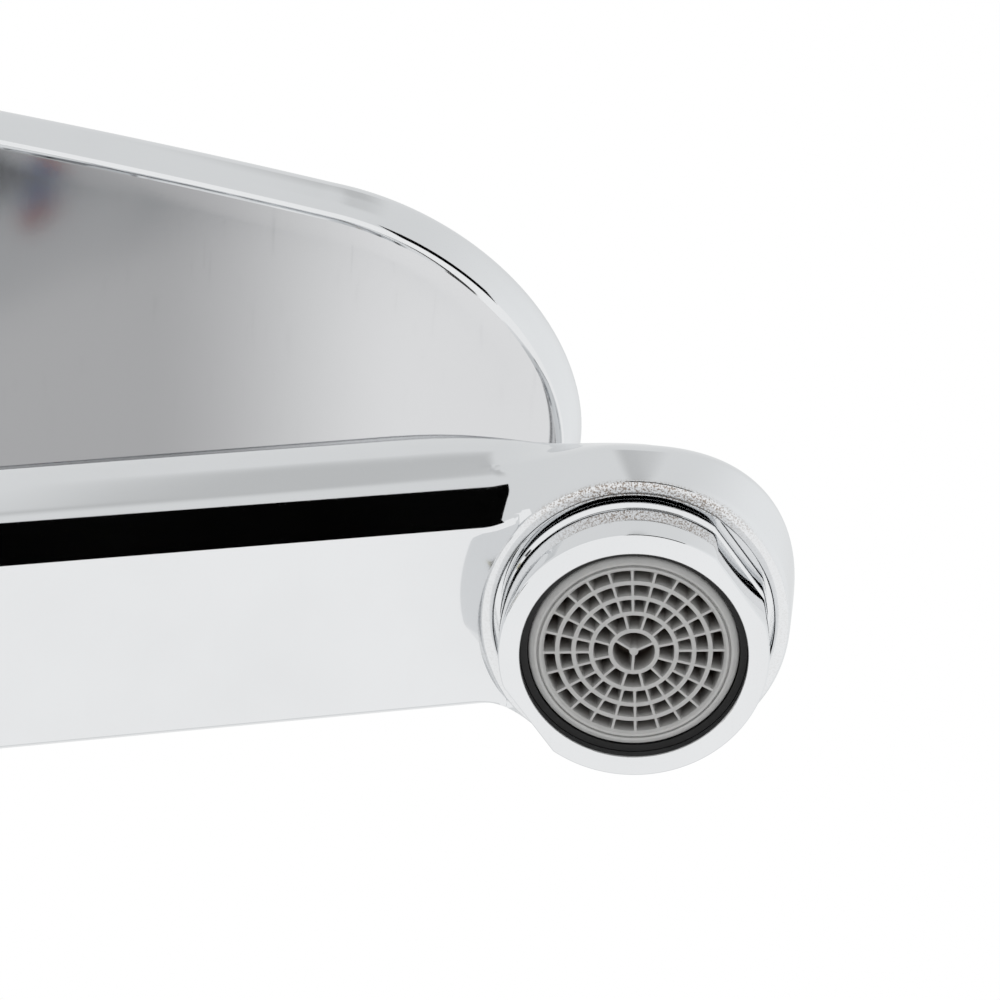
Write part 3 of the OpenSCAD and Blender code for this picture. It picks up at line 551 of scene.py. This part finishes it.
def spout_section(count, ease=0.12):
    """Closed outline of the arm at the collar, (half width, height over the floor), its corners
    eased by a Gaussian average, with more points where it turns."""
    t = np.linspace(0, 1, 120)[1:]
    side_y = wide_y - (wide_y - facet_y) * (1 - t) ** bow
    side = np.stack([side_y, facet_s + (wide_s - facet_s) * t], axis=1)
    t = np.linspace(0, np.pi / 2, 500)[1:]
    high, power = arm_height(36.0) - wide_s, 2 / arm_power
    top = np.stack([wide_y * np.cos(t) ** power, wide_s + high * np.sin(t) ** power], axis=1)
    half = np.concatenate([[[0.0, 0.0], [floor_half, 0.0], [facet_y, facet_s]], side, top])
    loop = np.concatenate([half, half[-2:0:-1] * [-1, 1], half[:1]])
    run = np.concatenate([[0], np.cumsum(np.linalg.norm(np.diff(loop, axis=0), axis=1))])
    dense = 4096
    even = np.linspace(0, run[-1], dense + 1)[:-1]
    line = np.stack([np.interp(even, run, loop[:, k]) for k in (0, 1)], axis=1)
    wave = np.fft.fftfreq(dense, d=run[-1] / dense)
    soft = np.exp(-2 * (np.pi * wave * ease) ** 2)[:, None]
    line = np.fft.ifft(np.fft.fft(line, axis=0) * soft, axis=0).real
    step = np.roll(line, -1, axis=0) - line
    way = np.unwrap(np.arctan2(step[:, 1], step[:, 0]))
    turning = np.abs(np.append(np.diff(way), 0))
    weight = np.cumsum(np.concatenate([[0], np.linalg.norm(step, axis=1) + 7.0 * turning]))
    pick = np.interp(np.linspace(0, weight[-1], count + 1)[:-1], weight, np.arange(dense + 1))
    closed = np.concatenate([line, line[:1]])
    section = np.stack([np.interp(pick, np.arange(dense + 1), closed[:, k]) for k in (0, 1)], axis=1)
    tangent = np.roll(section, -1, axis=0) - np.roll(section, 1, axis=0)
    tangent /= np.linalg.norm(tangent, axis=1, keepdims=True)
    return section, np.stack([tangent[:, 1], -tangent[:, 0]], axis=1)


def spout_arm():
    """The arm as upright sections of the field, each cut by rays from a point 9 mm over the
    floor. A fillet joins it to the collar. Towards the head the sections bend, so that the floor
    ends on the rim's circle and the rest inside the head, sunk a little under its skin."""
    section, normal = spout_section(320)
    y, s = section[:, 0], section[:, 1]
    run = np.array([math.cos(rise), 0, math.sin(rise)])

    def on_arm(x, yy, ss):
        return np.stack([x, yy, floor_at(x) + ss], axis=-1)

    # Fillet on the collar
    radius = 4.5
    ye, se = y + radius * normal[:, 0], s + radius * normal[:, 1]
    corner = on_arm(np.sqrt(body_r ** 2 - y ** 2), y, s)
    edge = on_arm(np.sqrt(body_r ** 2 - ye ** 2), ye, se)
    face = edge * [1, 1, 0] / body_r
    shift = np.einsum("ij,ij->i", edge - corner, face) / (face @ run)
    corner = corner + run * shift[:, None]
    start = corner + run * radius
    t = np.linspace(0, 1, 12)[:, None, None]
    fillet = (1 - t) ** 2 * edge + 2 * t * (1 - t) * corner + t ** 2 * start
    k = np.array([0.0, 0.25, 0.5, 0.75, 1.0])[:, None]
    end_r, end_s = 24.6, 10.0
    plug = on_arm(np.sqrt(end_r ** 2 - (k * ye) ** 2), k * ye, end_s + k * (se - end_s))

    # Sections that bend to the rim's circle, and the end inside the head
    flat = np.where(s < 0.5, np.abs(y), floor_half)
    bend = (rim_r - np.sqrt(rim_r ** 2 - flat ** 2)) / (math.cos(lean) + math.tan(rise) * math.sin(lean))
    first_x, fine_x, last_x = 44, 96, 106.24
    x = np.concatenate([np.linspace(first_x, fine_x, 27), np.linspace(fine_x, last_x, 44)[1:]])[:, None]
    x = x + smoothed(x, 70, 100) * bend
    centre = np.stack([x, 0 * x, floor_at(x) + axis_s], axis=-1)
    out = np.hypot(y, s - axis_s)
    way = np.stack([0 * y, y / out, (s - axis_s) / out], axis=-1)
    rows = leave_at(spout_field, centre, way)
    sunk = arm_sink * np.maximum(from_outlet(rows)[0] - cross_e, 0)
    rows -= way * sunk[..., None]
    t = np.linspace(0, 1, 9)[1:-1, None, None]
    first = start + (rows[0] - start) * t
    lifted = rows[-1] + (centre[-1] - rows[-1]) * np.array([0.0291, 0.1358])[:, None, None]
    cap = at_outlet(cross_e - 1, 0.0, 8.0) + 0 * rows[-1:]
    points = np.concatenate([plug, fillet, first, rows, lifted, cap])
    return points.reshape(-1, 3), band(len(points), len(y))


def spout_head():
    """The head round the outlet's axis: bore, recess, rim and rounded lip as circles, then the
    field cut by level rays up to its widest height and by rising rays over the dome. Its far side
    ends inside the arm, sinking a little under the arm's skin."""
    count = 400
    turn = np.arange(count) * 2 * np.pi / count
    t = np.linspace(0, np.pi / 2, 6)
    rings = [(0.0, bore_depth), (bore_r, bore_depth), (bore_r, recess_depth + 0.3),
             (bore_r + 0.3, recess_depth), (recess_r, recess_depth), (recess_r, 0.35),
             (recess_r + 0.1, 0.08), (recess_r + 0.35, 0.0)]
    rings += [(rim_r + rim_edge * (math.sin(a) - 1), rim_edge * (1 - math.cos(a))) for a in t]
    r, z = np.array(rings).T[:, :, None]
    mouth = at_outlet(r * np.cos(turn), r * np.sin(turn), z + 0 * turn)

    def head_only(p):
        return np.maximum(spout_field(p), cross_e - 3.5 - from_outlet(p)[0])

    flat = np.cos(turn)[:, None] * out_x + np.sin(turn)[:, None] * out_y
    level = np.linspace(rim_edge, head_wide_h, 16)[1:, None]
    centre = outlet_at + level[..., None] * out_z
    low_rows = leave_at(head_only, centre, flat[None])
    tilt = np.linspace(0, np.pi / 2, 72)[1:, None, None]
    way = np.cos(tilt) * flat + np.sin(tilt) * out_z
    high_rows = leave_at(head_only, centre[-1:], way)
    rows = np.concatenate([low_rows, high_rows])
    e, _, h = from_outlet(rows)
    sunk = np.minimum(head_sink * np.maximum(cross_e - e, 0), head_sink_most) * smoothed(h, 0.5, 2.5)
    inward = rows - (outlet_at + 5 * out_z)
    rows -= inward / np.linalg.norm(inward, axis=-1, keepdims=True) * sunk[..., None]
    points = np.concatenate([mouth, rows])
    return points.reshape(-1, 3), band(len(points), count)


def along_outlet(tree, where, way):
    """How far a place lies from the middle of the outlet along one of its directions, in metres."""
    apart = add(tree, "VectorMath", {0: where, 1: tuple(outlet_at * 0.001)}, operation="SUBTRACT")
    pair = {0: apart.outputs[0], 1: tuple(way)}
    return add(tree, "VectorMath", pair, operation="DOT_PRODUCT").outputs["Value"]


def cast_chrome():
    """Chrome of the casting, with the bare machined grain on the rim of the outlet, found by
    height and distance in the outlet's frame."""
    material, tree, shader, where, tint, dull = chrome_finish("chrome on the spout casting")
    height, ahead = along_outlet(tree, where, out_z), along_outlet(tree, where, out_x)
    left = add(tree, "SeparateXYZ", {0: where}).outputs[1]
    square = reckon(tree, "MULTIPLY_ADD", ahead, ahead, reckon(tree, "MULTIPLY", left, left))
    off = reckon(tree, "SQRT", square)
    low = remap(tree, height, 0.0001, 0.0009, 1.0, 0.0, True)
    near = remap(tree, off, 0.0158, 0.0163, 1.0, 0.0, True)
    side = remap(tree, left, -0.0150, -0.0095, 1.0, 0.08, True)
    grain = noise(tree, where, 5200.0, 3.0)
    patch = remap(tree, grain, 0.46, 0.62, 0.0, 0.9)
    rim = reckon(tree, "MULTIPLY", low, near)
    mask = reckon(tree, "MULTIPLY", rim, reckon(tree, "MULTIPLY", side, patch))
    brown = blend_colours(tree, grain, (0.10, 0.07, 0.055, 1), (0.42, 0.34, 0.27, 1))
    tree.links.new(blend_colours(tree, mask, tint, brown), shader.inputs["Base Color"])
    tree.links.new(reckon(tree, "MULTIPLY_ADD", mask, 0.4, dull), shader.inputs["Roughness"])
    return material


collar = turned(rounded([(collar_bore, collar_low, 0.4), (body_r, collar_low, 0.5),
                         (body_r, collar_high, 0.5), (collar_bore, collar_high, 0.4)]))
make("spout_cast", [spout_arm(), spout_head(), collar], [cast_chrome()], "spout", ["spout"])

# Aerator.
# A turned brass ring, chromed, with two spanner flats. It holds a black gasket and a grey
# moulded strainer, and behind them a white flow plate and a black washer.

ring_r, ring_flat_r, flat_turn = 13.75, 13.0, math.radians(-38)
ring_front, ring_rear, thread_r, thread_end = -7.6, 3.2, 11.95, 10.7
seat_r, seat_z, mouth_r = 10.8, -5.0, 11.55
groove_r, groove_low, groove_high, outside_thread = 13.25, -1.5, 0.0, 12.6
strainer_r, strainer_front, strainer_h = 10.75, -6.3, 4.2
ring_radii = [2.365, 4.33, 6.11, 7.77, 9.37]


def aerator_ring():
    """A profile carried round the outlet's axis; outside the thread its radius is cut to a flat's
    distance over the cosine of the angle from it."""
    profile = rounded([
        (seat_r, thread_end, 0.1), (seat_r, seat_z, 0.05), (mouth_r, seat_z, 0.1),
        (mouth_r, ring_front, 0.3), (ring_r, ring_front, 0.5), (ring_r, groove_low, 0.25),
        (groove_r, groove_low + 0.3, 0.15), (groove_r, groove_high - 0.3, 0.15),
        (ring_r, groove_high, 0.25), (ring_r, ring_rear, 0.4), (thread_r, ring_rear, 0.1),
        (thread_r, thread_end, 0.3)])
    count = 240
    a = np.arange(count) * 2 * np.pi / count
    r, z = profile[:, :1] + 0 * a, profile[:, 1:] + 0 * a
    cut = ring_flat_r / np.maximum(np.abs(np.cos(a - flat_turn)), 1e-3)
    fall = np.where(r > outside_thread, np.minimum(r, cut - np.minimum(ring_r - r, 0.5) * (cut < ring_r)), r)
    points = at_outlet(fall * np.cos(a), fall * np.sin(a), z)
    return points.reshape(-1, 3), band(len(profile), count, close_rows=True)


def strainer():
    """Polar grid with a column at each degree. In each band of cells the columns beside a rib and
    the rows beside a ring are moved to its edges, and the points between them sink as the least
    of their two slopes, which makes sloping trays; a flat back closes it."""
    wall, rib, depth, slope_run = 0.22, 0.12, 3.2, 0.3
    lows, counts, firsts = [0.0] + ring_radii[:-1], [3, 12, 24, 24, 24], [90, 13, 10, 10, 10]
    degrees = np.arange(360.0)
    rows_r, rows_a, rows_z = [], [], []
    for low, high, count, first in zip(lows, ring_radii, counts, firsts):
        pitch = 360 / count
        place = (degrees - first) % pitch
        side = np.minimum(place, pitch - place)
        sign = np.where(place <= pitch / 2, 1.0, -1.0)
        base = np.where(place <= pitch / 2, degrees - place, degrees + pitch - place)
        inner, outer = (0.45 if low == 0 else low + wall), high - wall
        middle = (inner + outer) / 2
        stations = [inner, inner + 0.14, inner + slope_run, middle, outer - slope_run, outer - 0.14, outer]
        sink_r = [0, 0.6, 1.0, 1.0, 1.0, 0.6, 0]
        for r, sink in zip(stations, sink_r):
            edge = math.degrees(math.asin(min(0.95, rib / r)))
            slope = math.degrees(slope_run / r)
            half = pitch / 2
            angle = np.interp(side, [0, 1, 3, half], [0, edge, edge + slope, half])
            sunk = np.clip((side - 1) / 2, 0, 1)
            rows_r.append(r + 0 * degrees)
            rows_a.append(base + sign * angle)
            rows_z.append(depth * np.minimum(sunk, sink))
        rows_r.append(high + 0 * degrees)
        rows_a.append(degrees)
        rows_z.append(0 * degrees - (0.25 if high == ring_radii[-1] else 0.0))
    start, last = [(0.0, 0.0), (0.3, 0.0)], ring_radii[-1]
    end = [(last + 0.25, -0.28), (last + 0.33, 0.05), (last + 0.43, 0.05), (last + 0.51, -0.2),
           (strainer_r - 0.65, -0.25), (strainer_r - 0.35, -0.12), (strainer_r - 0.13, 0.12),
           (strainer_r, 0.5), (strainer_r, strainer_h), (0.0, strainer_h)]

    def circles(pairs, column):
        return [pair[column] + 0 * degrees for pair in pairs]

    r = np.stack(circles(start, 0) + rows_r + circles(end, 0))
    a = np.radians(np.stack([degrees for _ in start] + rows_a + [degrees for _ in end]))
    z = strainer_front + np.stack(circles(start, 1) + rows_z + circles(end, 1))
    points = at_outlet(r * np.cos(a), r * np.sin(a), z)
    return points.reshape(-1, 3), band(len(r), 360)


def strainer_plastic():
    """Grey moulded plastic that darkens and browns with depth in the cells, where limescale and
    shade gather."""
    material, tree, shader, where = begin_material("grey strainer plastic")
    deep = remap(tree, along_outlet(tree, where, out_z), -0.0062, -0.0036, 0.0, 1.0)
    cloud = noise(tree, where, 700.0, 3.0)
    top = blend_colours(tree, cloud, (0.40, 0.40, 0.395, 1), (0.50, 0.50, 0.49, 1))
    low = blend_colours(tree, cloud, (0.05, 0.04, 0.034, 1), (0.13, 0.10, 0.08, 1))
    tree.links.new(blend_colours(tree, deep, top, low), shader.inputs["Base Color"])
    set_rough(tree, shader, cloud, 0.36, 0.5)
    set_bump(tree, shader, noise(tree, where, 3000.0), 0.2, 0.00002)
    return material


make("aerator_ring_turned", [aerator_ring()], [polished_chrome], "spout",
     ["aerator_ring"], sharp=25)
make("aerator_strainer", [strainer()], [strainer_plastic()], "spout",
     ["aerator_grid"], sharp=25)
# The gasket's near-black colour, darker than the other rubbers, is partly painted shade: it stands in for
# the shadow in the gap between ring and strainer as well as the rubber's own black.
dress("aerator_gasket", rubber_finish("aerator gasket rubber with painted gap shade", (0.004, 0.004, 0.004)))
dress("flow_plate", plastic_finish("flow plate plastic", (0.80, 0.80, 0.78), 0.4, 0.04))
dress("aerator_washer", seal_rubber)

# Lever.
# One zinc casting, polished and chromed, satin in its hollow underside: a round cup that rides
# over the bonnet and a long arched blade with a rounded tip. A square stem comes up into a
# socket in the cup, held by a grub screw behind the round red and blue indicator.

tip_x, tip_len, tip_half = 80.0, 30.7, 23.5
arc_r, crest_x, crest_z = 455.0, -25.0, 127.8
crown_back, crown_front, crown_end, heel_drop, crown_power = 13.0, 4.6, 28.0, 0.8, 3.2
skirt_back, skirt_front, ceiling_drop, heel_lift = 0.5, 5.0, 1.0, 0.6
cavity_r, cavity_top, cup_sphere, roof_z = 22.5, 123.9, 23.4, 124.3
rim_slant, rim_up = math.radians(12.5), 2.0
plug_z, plug_r, dimple_depth, dimple_reach = 90.0, 3.5, 0.65, 4.2
socket_r, socket_bore, socket_low, socket_high = 8.5, 5.7, 86.0, 124.2
lug_r, lug_bore, lug_from, lug_to = 5.0, 2.6, 8.0, 22.8
lens_back, lens_edge, lens_top = 22.6, 25.35, 25.85


def edge_height(x):
    """Height of the lever's edge line: one long arc."""
    return crest_z - arc_r + np.sqrt(arc_r ** 2 - (x - crest_x) ** 2)


def blade():
    """The blade on a grid of its plan outline and a profile from the spine over the edge, down
    the skirt, round the rim and back under the hollow to the spine."""
    back = np.linspace(np.pi, np.pi / 2, 33)[:-1]
    along = np.linspace(0, tip_x, 61)[:-1]
    tip = np.linspace(0, np.pi / 2, 41)
    ox = np.concatenate([body_r * np.cos(back), along, tip_x + tip_len * np.sin(tip)])
    taper = body_r + (tip_half - body_r) * along / tip_x
    oy = np.concatenate([body_r * np.sin(back), taper, tip_half * np.cos(tip)])
    ox, oy = np.concatenate([ox, ox[-2:0:-1]]), np.concatenate([oy, -oy[-2:0:-1]])
    sx = np.clip(ox, 0, tip_x)
    width = np.hypot(ox - sx, oy)
    ux, uy = (ox - sx) / width, oy / width
    front = smoothed(ox, 0, crown_end)

    def crown(x):
        return crown_back + (crown_front - crown_back) * smoothed(x, 0, crown_end)

    def top(x):
        heel = heel_drop * (1 - smoothed(x, 0, crown_end))
        return edge_height(np.maximum(x, 0)) + crown_front - heel

    rows = []
    for t in np.linspace(np.pi / 2, 0, 24):
        w = width * np.cos(t) ** (2 / crown_power)
        x = sx + ux * w
        lift = math.sin(t) ** (2 / crown_power)
        rows.append((x, uy * w, top(x) - crown(x) * (1 - lift)))
    edge = top(ox) - crown(ox)
    deep = skirt_back + (skirt_front - skirt_back) * smoothed(ox, 14, 30)
    draft = 0.15 + front
    rim, cove = 1.0, 0.6 + 1.2 * front

    def ceiling(x):
        lift = heel_lift * (1 - smoothed(x, 0, crown_end))
        return edge_height(np.maximum(x, crown_end)) - ceiling_drop + lift

    q = 0.5 * np.minimum(deep, 1.0)
    for f in (0.3, 0.6, 1.0):
        w = width - draft * f * (deep - q) / deep
        rows.append((sx + ux * w, uy * w, edge - f * (deep - q)))
    foot_w = width - draft
    for t in np.linspace(0, np.pi / 2, 5)[1:]:
        w = foot_w - q * (1 - math.cos(t))
        rows.append((sx + ux * w, uy * w, edge - deep + q * (1 - math.sin(t))))
    for f in (0.5, 0.85):
        w = foot_w - q - f * (rim - q)
        rows.append((sx + ux * w, uy * w, edge - deep))
    outer_rows = len(rows)
    for t in np.linspace(0, np.pi / 2, 10):
        w = foot_w - rim - cove * (1 - math.cos(t))
        x = sx + ux * w
        rows.append((x, uy * w, edge - deep + 0.15 + (ceiling(x) - edge + deep - 0.15) * math.sin(t)))
    inner = foot_w - rim - cove
    for f in np.linspace(1, 0, 9)[1:]:
        x = sx + ux * inner * f
        rows.append((x, uy * inner * f, ceiling(x)))
    points = np.array([np.stack(row, axis=-1) for row in rows])
    count = len(ox)
    kinds = np.repeat((np.arange(len(rows) - 1) >= outer_rows).astype(int), count)
    return points.reshape(-1, 3), band(len(rows), count), kinds


def rim_height(x):
    """Height of the plane of the cup's rim, which slants up to the back and passes 2 mm over the
    pivot."""
    return pivot_z + (rim_up - x * math.sin(rim_slant)) / math.cos(rim_slant)


def cup():
    """The cup on a grid of angle and profile: up the outside from a slanting rim to the blade,
    over the top to the axis, and down the ball and bore inside; a small round dimple takes the
    indicator."""
    dimple_span = 9.5
    fine = np.radians(np.linspace(-dimple_span, dimple_span, 60))
    rest = np.linspace(fine[-1], 2 * np.pi + fine[0], 122)[1:-1]
    a = np.concatenate([fine, rest])
    x = body_r * np.cos(a)
    low = rim_height(x)
    back_edge = edge_height(0.0) + crown_front - heel_drop - crown_back
    seam = back_edge + smoothed(x, 0, 12) * (edge_height(26.0) - 0.6 - back_edge)
    rows = [(body_r - 0.9, low), (body_r - 0.35, low + 0.1), (body_r - 0.1, low + 0.35),
            (body_r, low + 0.8)]
    rows += [(body_r, low + 0.8 + (plug_z - dimple_reach - low - 0.8) * f) for f in (0.33, 0.66, 1.0)]
    for z in np.linspace(plug_z - dimple_reach + 0.1, plug_z + dimple_reach - 0.1, 60):
        away = np.hypot(body_r * np.sin(a), z - plug_z) + 100 * (np.cos(a) < 0)
        rows.append((body_r - dimple_depth * (1 - smoothed(away, plug_r, plug_r + 0.35)), z))
    over = plug_z + dimple_reach
    rows += [(body_r, over + (seam - over) * f) for f in (0.0, 0.33, 0.66, 1.0)]
    inner_r, middle_z = 24.2, 100.0
    rows += [(inner_r + 0.2, seam + 0.03), (inner_r, roof_z), (0.0, roof_z), (0.0, cavity_top),
             (cavity_r - 0.6, cavity_top), (cavity_r, cavity_top - 0.6), (cavity_r, middle_z)]
    join = math.sqrt(cup_sphere ** 2 - cavity_r ** 2)
    rows += [(cavity_r, pivot_z + join)]
    inner_low = rim_height(0.9 * x)
    for f in (0.66, 0.33, 0.0):
        z = inner_low + (pivot_z + join - inner_low) * f
        z = np.where(inner_low > pivot_z + join, inner_low + 0.05 * f, z)
        ball_r = np.sqrt(np.maximum(cup_sphere ** 2 - (z - pivot_z) ** 2, 0))
        rows.append((np.maximum(ball_r, cavity_r * (z > pivot_z)), z))
    points = np.array([circle(r, a, z) for r, z in rows])
    return points.reshape(-1, 3), band(len(rows), len(a), close_rows=True)


def satin_chrome():
    """Chrome over an unpolished, bead-blasted hollow: a soft blur, and a painted reflection that darkens
    the colour towards the cup, standing in for the cup, body and shaded floor that the hollow mirrors."""
    made = chrome_finish("satin chrome of the hollow", (0.74, 0.75, 0.76), 0.14, 0.03)
    material, tree, shader, where = made[:4]
    along = add(tree, "SeparateXYZ", {0: where}).outputs[0]
    # Painted reflection: the base colour runs from dark near the cup to light near the tip, in place of the
    # darker surroundings mirrored there.
    shade = remap(tree, along, 0.058, 0.092, 0.0, 1.0, True)
    set_tint(tree, shader, shade, (0.385, 0.388, 0.395), (0.71, 0.715, 0.725))
    set_bump(tree, shader, noise(tree, where, 1800.0), 0.12, 0.00003)
    return material


def along_x(points, z):
    """Turns a piece made round the Z axis so that its axis lies along X at a height."""
    p = np.asarray(points)
    return np.stack([p[:, 2], p[:, 1], z - p[:, 0]], axis=1)


socket = turned(rounded([(socket_bore, socket_low, 0.2), (socket_r, socket_low, 0.8),
                         (socket_r, socket_high, 0.1), (socket_bore, socket_high, 0.1)]), 64)
lug = turned(rounded([(lug_bore, lug_from, 0.1), (lug_r, lug_from, 0.3), (lug_r, lug_to, 0.1),
                      (lug_bore, lug_to, 0.1)]), 48)
lug = (along_x(lug[0], plug_z), lug[1])
lever_chrome = chrome_finish("chrome on the lever casting")[0]
make("lever_cast", [blade(), cup(), socket, lug], [lever_chrome, satin_chrome()], "lever",
     ["handle"], sharp=38)


def lens_half(side):
    """Half of a round lens: rings of a domed disc over half a turn, closed by its flat side and
    back."""
    a = np.linspace(0.008, np.pi - 0.008, 33) * side
    rows = [(0.0, lens_back), (plug_r - 0.05, lens_back), (plug_r - 0.05, lens_edge),
            (plug_r - 0.2, lens_top - 0.25), (plug_r * 0.8, lens_top - 0.13),
            (plug_r * 0.4, lens_top - 0.03), (0.0, lens_top)]
    circles = [np.stack([x + 0 * a, r * np.sin(a), plug_z - r * np.cos(a)], axis=-1) for r, x in rows]
    points = np.array(circles)
    gap = 0.03
    points[:, :, 1] += gap * side
    return points.reshape(-1, 3), band(len(rows), len(a), close_rows=True)


def lens_finish(name, colour):
    """Clear-coated coloured plastic with a slightly cloudy depth."""
    material, tree, shader, where = begin_material(name)
    cloud = noise(tree, where, 500.0, 3.0)
    deep = tuple(0.6 * c for c in colour)
    clouded = remap(tree, cloud, 0.35, 0.7, 0.0, 1.0)
    set_tint(tree, shader, clouded, colour, deep)
    set_rough(tree, shader, cloud, 0.14, 0.22)
    shader.inputs["Coat Weight"].default_value = 0.6
    return material


make("indicator_red_lens", [lens_half(1)], [lens_finish("red indicator plastic", (0.66, 0.03, 0.03))],
     "lever", ["indicator_red"])
make("indicator_blue_lens", [lens_half(-1)], [lens_finish("blue indicator plastic", (0.05, 0.16, 0.55))],
     "lever", ["indicator_blue"])
dress("stem", steel_finish("plated stem steel", (0.66, 0.66, 0.67), 0.24))
dress("grub_screw", steel_finish("blackened steel", (0.12, 0.12, 0.125), 0.36, (0.7, 0.7, 0.7)))

# Floor, card and light.
# A plain pale floor below the stud, white where metal mirrors it and clear from beneath, since
# the camera looks up through it; a black card half a metre off on the near side, a broad soft
# light above and a pale room around them.

floor_level, floor_reach = -0.0625, 6
card_left, card_right, card_low, card_high, card_y = 0.04, 0.38, 0.02, 0.25, -0.5


def flat_sheet(name, corners, material):
    """A flat stage piece through four corners, given in metres."""
    mesh = bpy.data.meshes.new(name)
    mesh.from_pydata(np.array(corners, float), [], [[0, 1, 2, 3]])
    mesh.materials.append(material)
    piece = new_object(name, mesh)
    return piece


def floor_finish():
    """Pale matt floor with the object's shadow; mirrored it is plain white, and from beneath it
    is clear."""
    material = bpy.data.materials.new("pale floor")
    material.use_nodes = True
    tree = material.node_tree
    tree.nodes.clear()
    matt = add(tree, "BsdfDiffuse", {"Color": (0.90, 0.90, 0.90, 1)})
    white = add(tree, "Emission", {"Color": (1, 1, 1, 1), "Strength": 1.0})
    clear = add(tree, "BsdfTransparent")
    ray = add(tree, "LightPath")
    shown = reckon(tree, "MAXIMUM", ray.outputs["Is Glossy Ray"], ray.outputs["Is Transmission Ray"])
    lit = add(tree, "MixShader", {0: shown, 1: matt.outputs[0], 2: white.outputs[0]})
    beneath = add(tree, "NewGeometry").outputs["Backfacing"]
    both = add(tree, "MixShader", {0: beneath, 1: lit.outputs[0], 2: clear.outputs[0]})
    leave = add(tree, "OutputMaterial")
    tree.links.new(both.outputs[0], leave.inputs[0])
    return material


def card_finish():
    """Black card that swallows the light."""
    material, tree, shader, where = begin_material("black card")
    set_tint(tree, shader, noise(tree, where, 60.0), (0.0, 0.0, 0.0), (0.002, 0.002, 0.002))
    shader.inputs["Roughness"].default_value = 1.0
    shader.inputs["Specular IOR Level"].default_value = 0.0
    return material


around = ((-1, -1), (1, -1), (1, 1), (-1, 1))
flat_sheet("floor", [(floor_reach * a, floor_reach * b, floor_level) for a, b in around], floor_finish())
card = flat_sheet("black_card",
                  [(card_left, card_y, card_low), (card_right, card_y, card_low),
                   (card_right, card_y, card_high), (card_left, card_y, card_high)],
                  card_finish())
for use in ("visible_camera", "visible_diffuse", "visible_transmission", "visible_shadow"):
    setattr(card, use, False)


def studio_world():
    """White behind the object for the camera. Mirrored, it is a pale room with a greyer band high
    on the near side; for soft light it is an even grey."""
    world = bpy.data.worlds.new("studio")
    bpy.context.scene.world = world
    world.use_nodes = True
    tree = world.node_tree
    tree.nodes.clear()
    way = add(tree, "TexCoord").outputs["Generated"]
    parts = add(tree, "SeparateXYZ", {0: way})
    x, y, z = parts.outputs[0], parts.outputs[1], parts.outputs[2]
    high = remap(tree, z, 0.3, 0.6, 0.0, 1.0, True)
    near = reckon(tree, "MULTIPLY", remap(tree, y, -0.49, -0.55, 0.0, 1.0, True),
                  remap(tree, y, -0.84, -0.66, 0.0, 1.0, True))
    side = reckon(tree, "MULTIPLY", remap(tree, x, -0.20, -0.13, 0.0, 1.0, True),
                  remap(tree, x, -0.10, 0.01, 1.0, 0.0, True))
    grey = reckon(tree, "MULTIPLY", high, reckon(tree, "MULTIPLY", near, side))
    front = remap(tree, x, 0.1, 0.75, 0.0, 1.0, True)
    room = reckon(tree, "MULTIPLY_ADD", front, 0.15, 0.80)
    level = reckon(tree, "MULTIPLY_ADD", grey, -0.20, room)
    mirrored = add(tree, "Background", {"Color": (0.985, 0.995, 1.0, 1), "Strength": level})
    soft = add(tree, "Background", {"Color": (1, 1, 1, 1), "Strength": 0.55})
    white = add(tree, "Background", {"Color": (1, 1, 1, 1), "Strength": 1.0})
    ray = add(tree, "LightPath")
    either = {0: ray.outputs["Is Glossy Ray"], 1: soft.outputs[0], 2: mirrored.outputs[0]}
    unseen = add(tree, "MixShader", either)
    whole = reckon(tree, "MAXIMUM", ray.outputs["Is Camera Ray"], ray.outputs["Is Transmission Ray"])
    both = add(tree, "MixShader", {0: whole, 1: unseen.outputs[0], 2: white.outputs[0]})
    leave = add(tree, "OutputWorld")
    tree.links.new(both.outputs[0], leave.inputs[0])


studio_world()


def soft_light(name, size, energy, place, aim):
    """A square soft light that isn't mirrored, turned from its place towards a point."""
    data = bpy.data.lights.new(name, "AREA")
    data.shape, data.size, data.energy = "SQUARE", size, energy
    lamp = new_object(name, data)
    lamp.visible_glossy, lamp.visible_camera = False, False
    back = np.array(place, float) - np.array(aim, float)
    back /= np.linalg.norm(back)
    side = np.cross([0.0, 1.0, 0.0], back)
    side /= np.linalg.norm(side)
    lift = np.cross(back, side)
    lamp_rows = [[side[k], lift[k], back[k], place[k]] for k in range(3)]
    lamp.matrix_world = Matrix(lamp_rows + [[0, 0, 0, 1]])


soft_light("overhead", 1.4, 14.0, (0.2, -0.25, 1.3), (0.05, 0.0, 0.0))

# Camera.
# It looks up past the outlet to the underside of the lever, as in the photograph.

eye = (0.1565, -0.2059, -0.3351)
right, ahead_way = np.array([0.987, -0.057, 0.149]), np.array([-0.110, 0.434, 0.894])
ahead_way /= np.linalg.norm(ahead_way)
right -= ahead_way * (right @ ahead_way)
right /= np.linalg.norm(right)
upward = np.cross(right, ahead_way)
lens = bpy.data.cameras.new("camera")
lens.lens, lens.sensor_width, lens.clip_start = 157.95, 36.0, 0.01
camera = new_object("camera", lens)
camera_rows = [[right[k], upward[k], -ahead_way[k], eye[k]] for k in range(3)]
camera.matrix_world = Matrix(camera_rows + [[0, 0, 0, 1]])
bpy.context.scene.camera = camera

bpy.context.scene.view_settings.view_transform = "Standard"
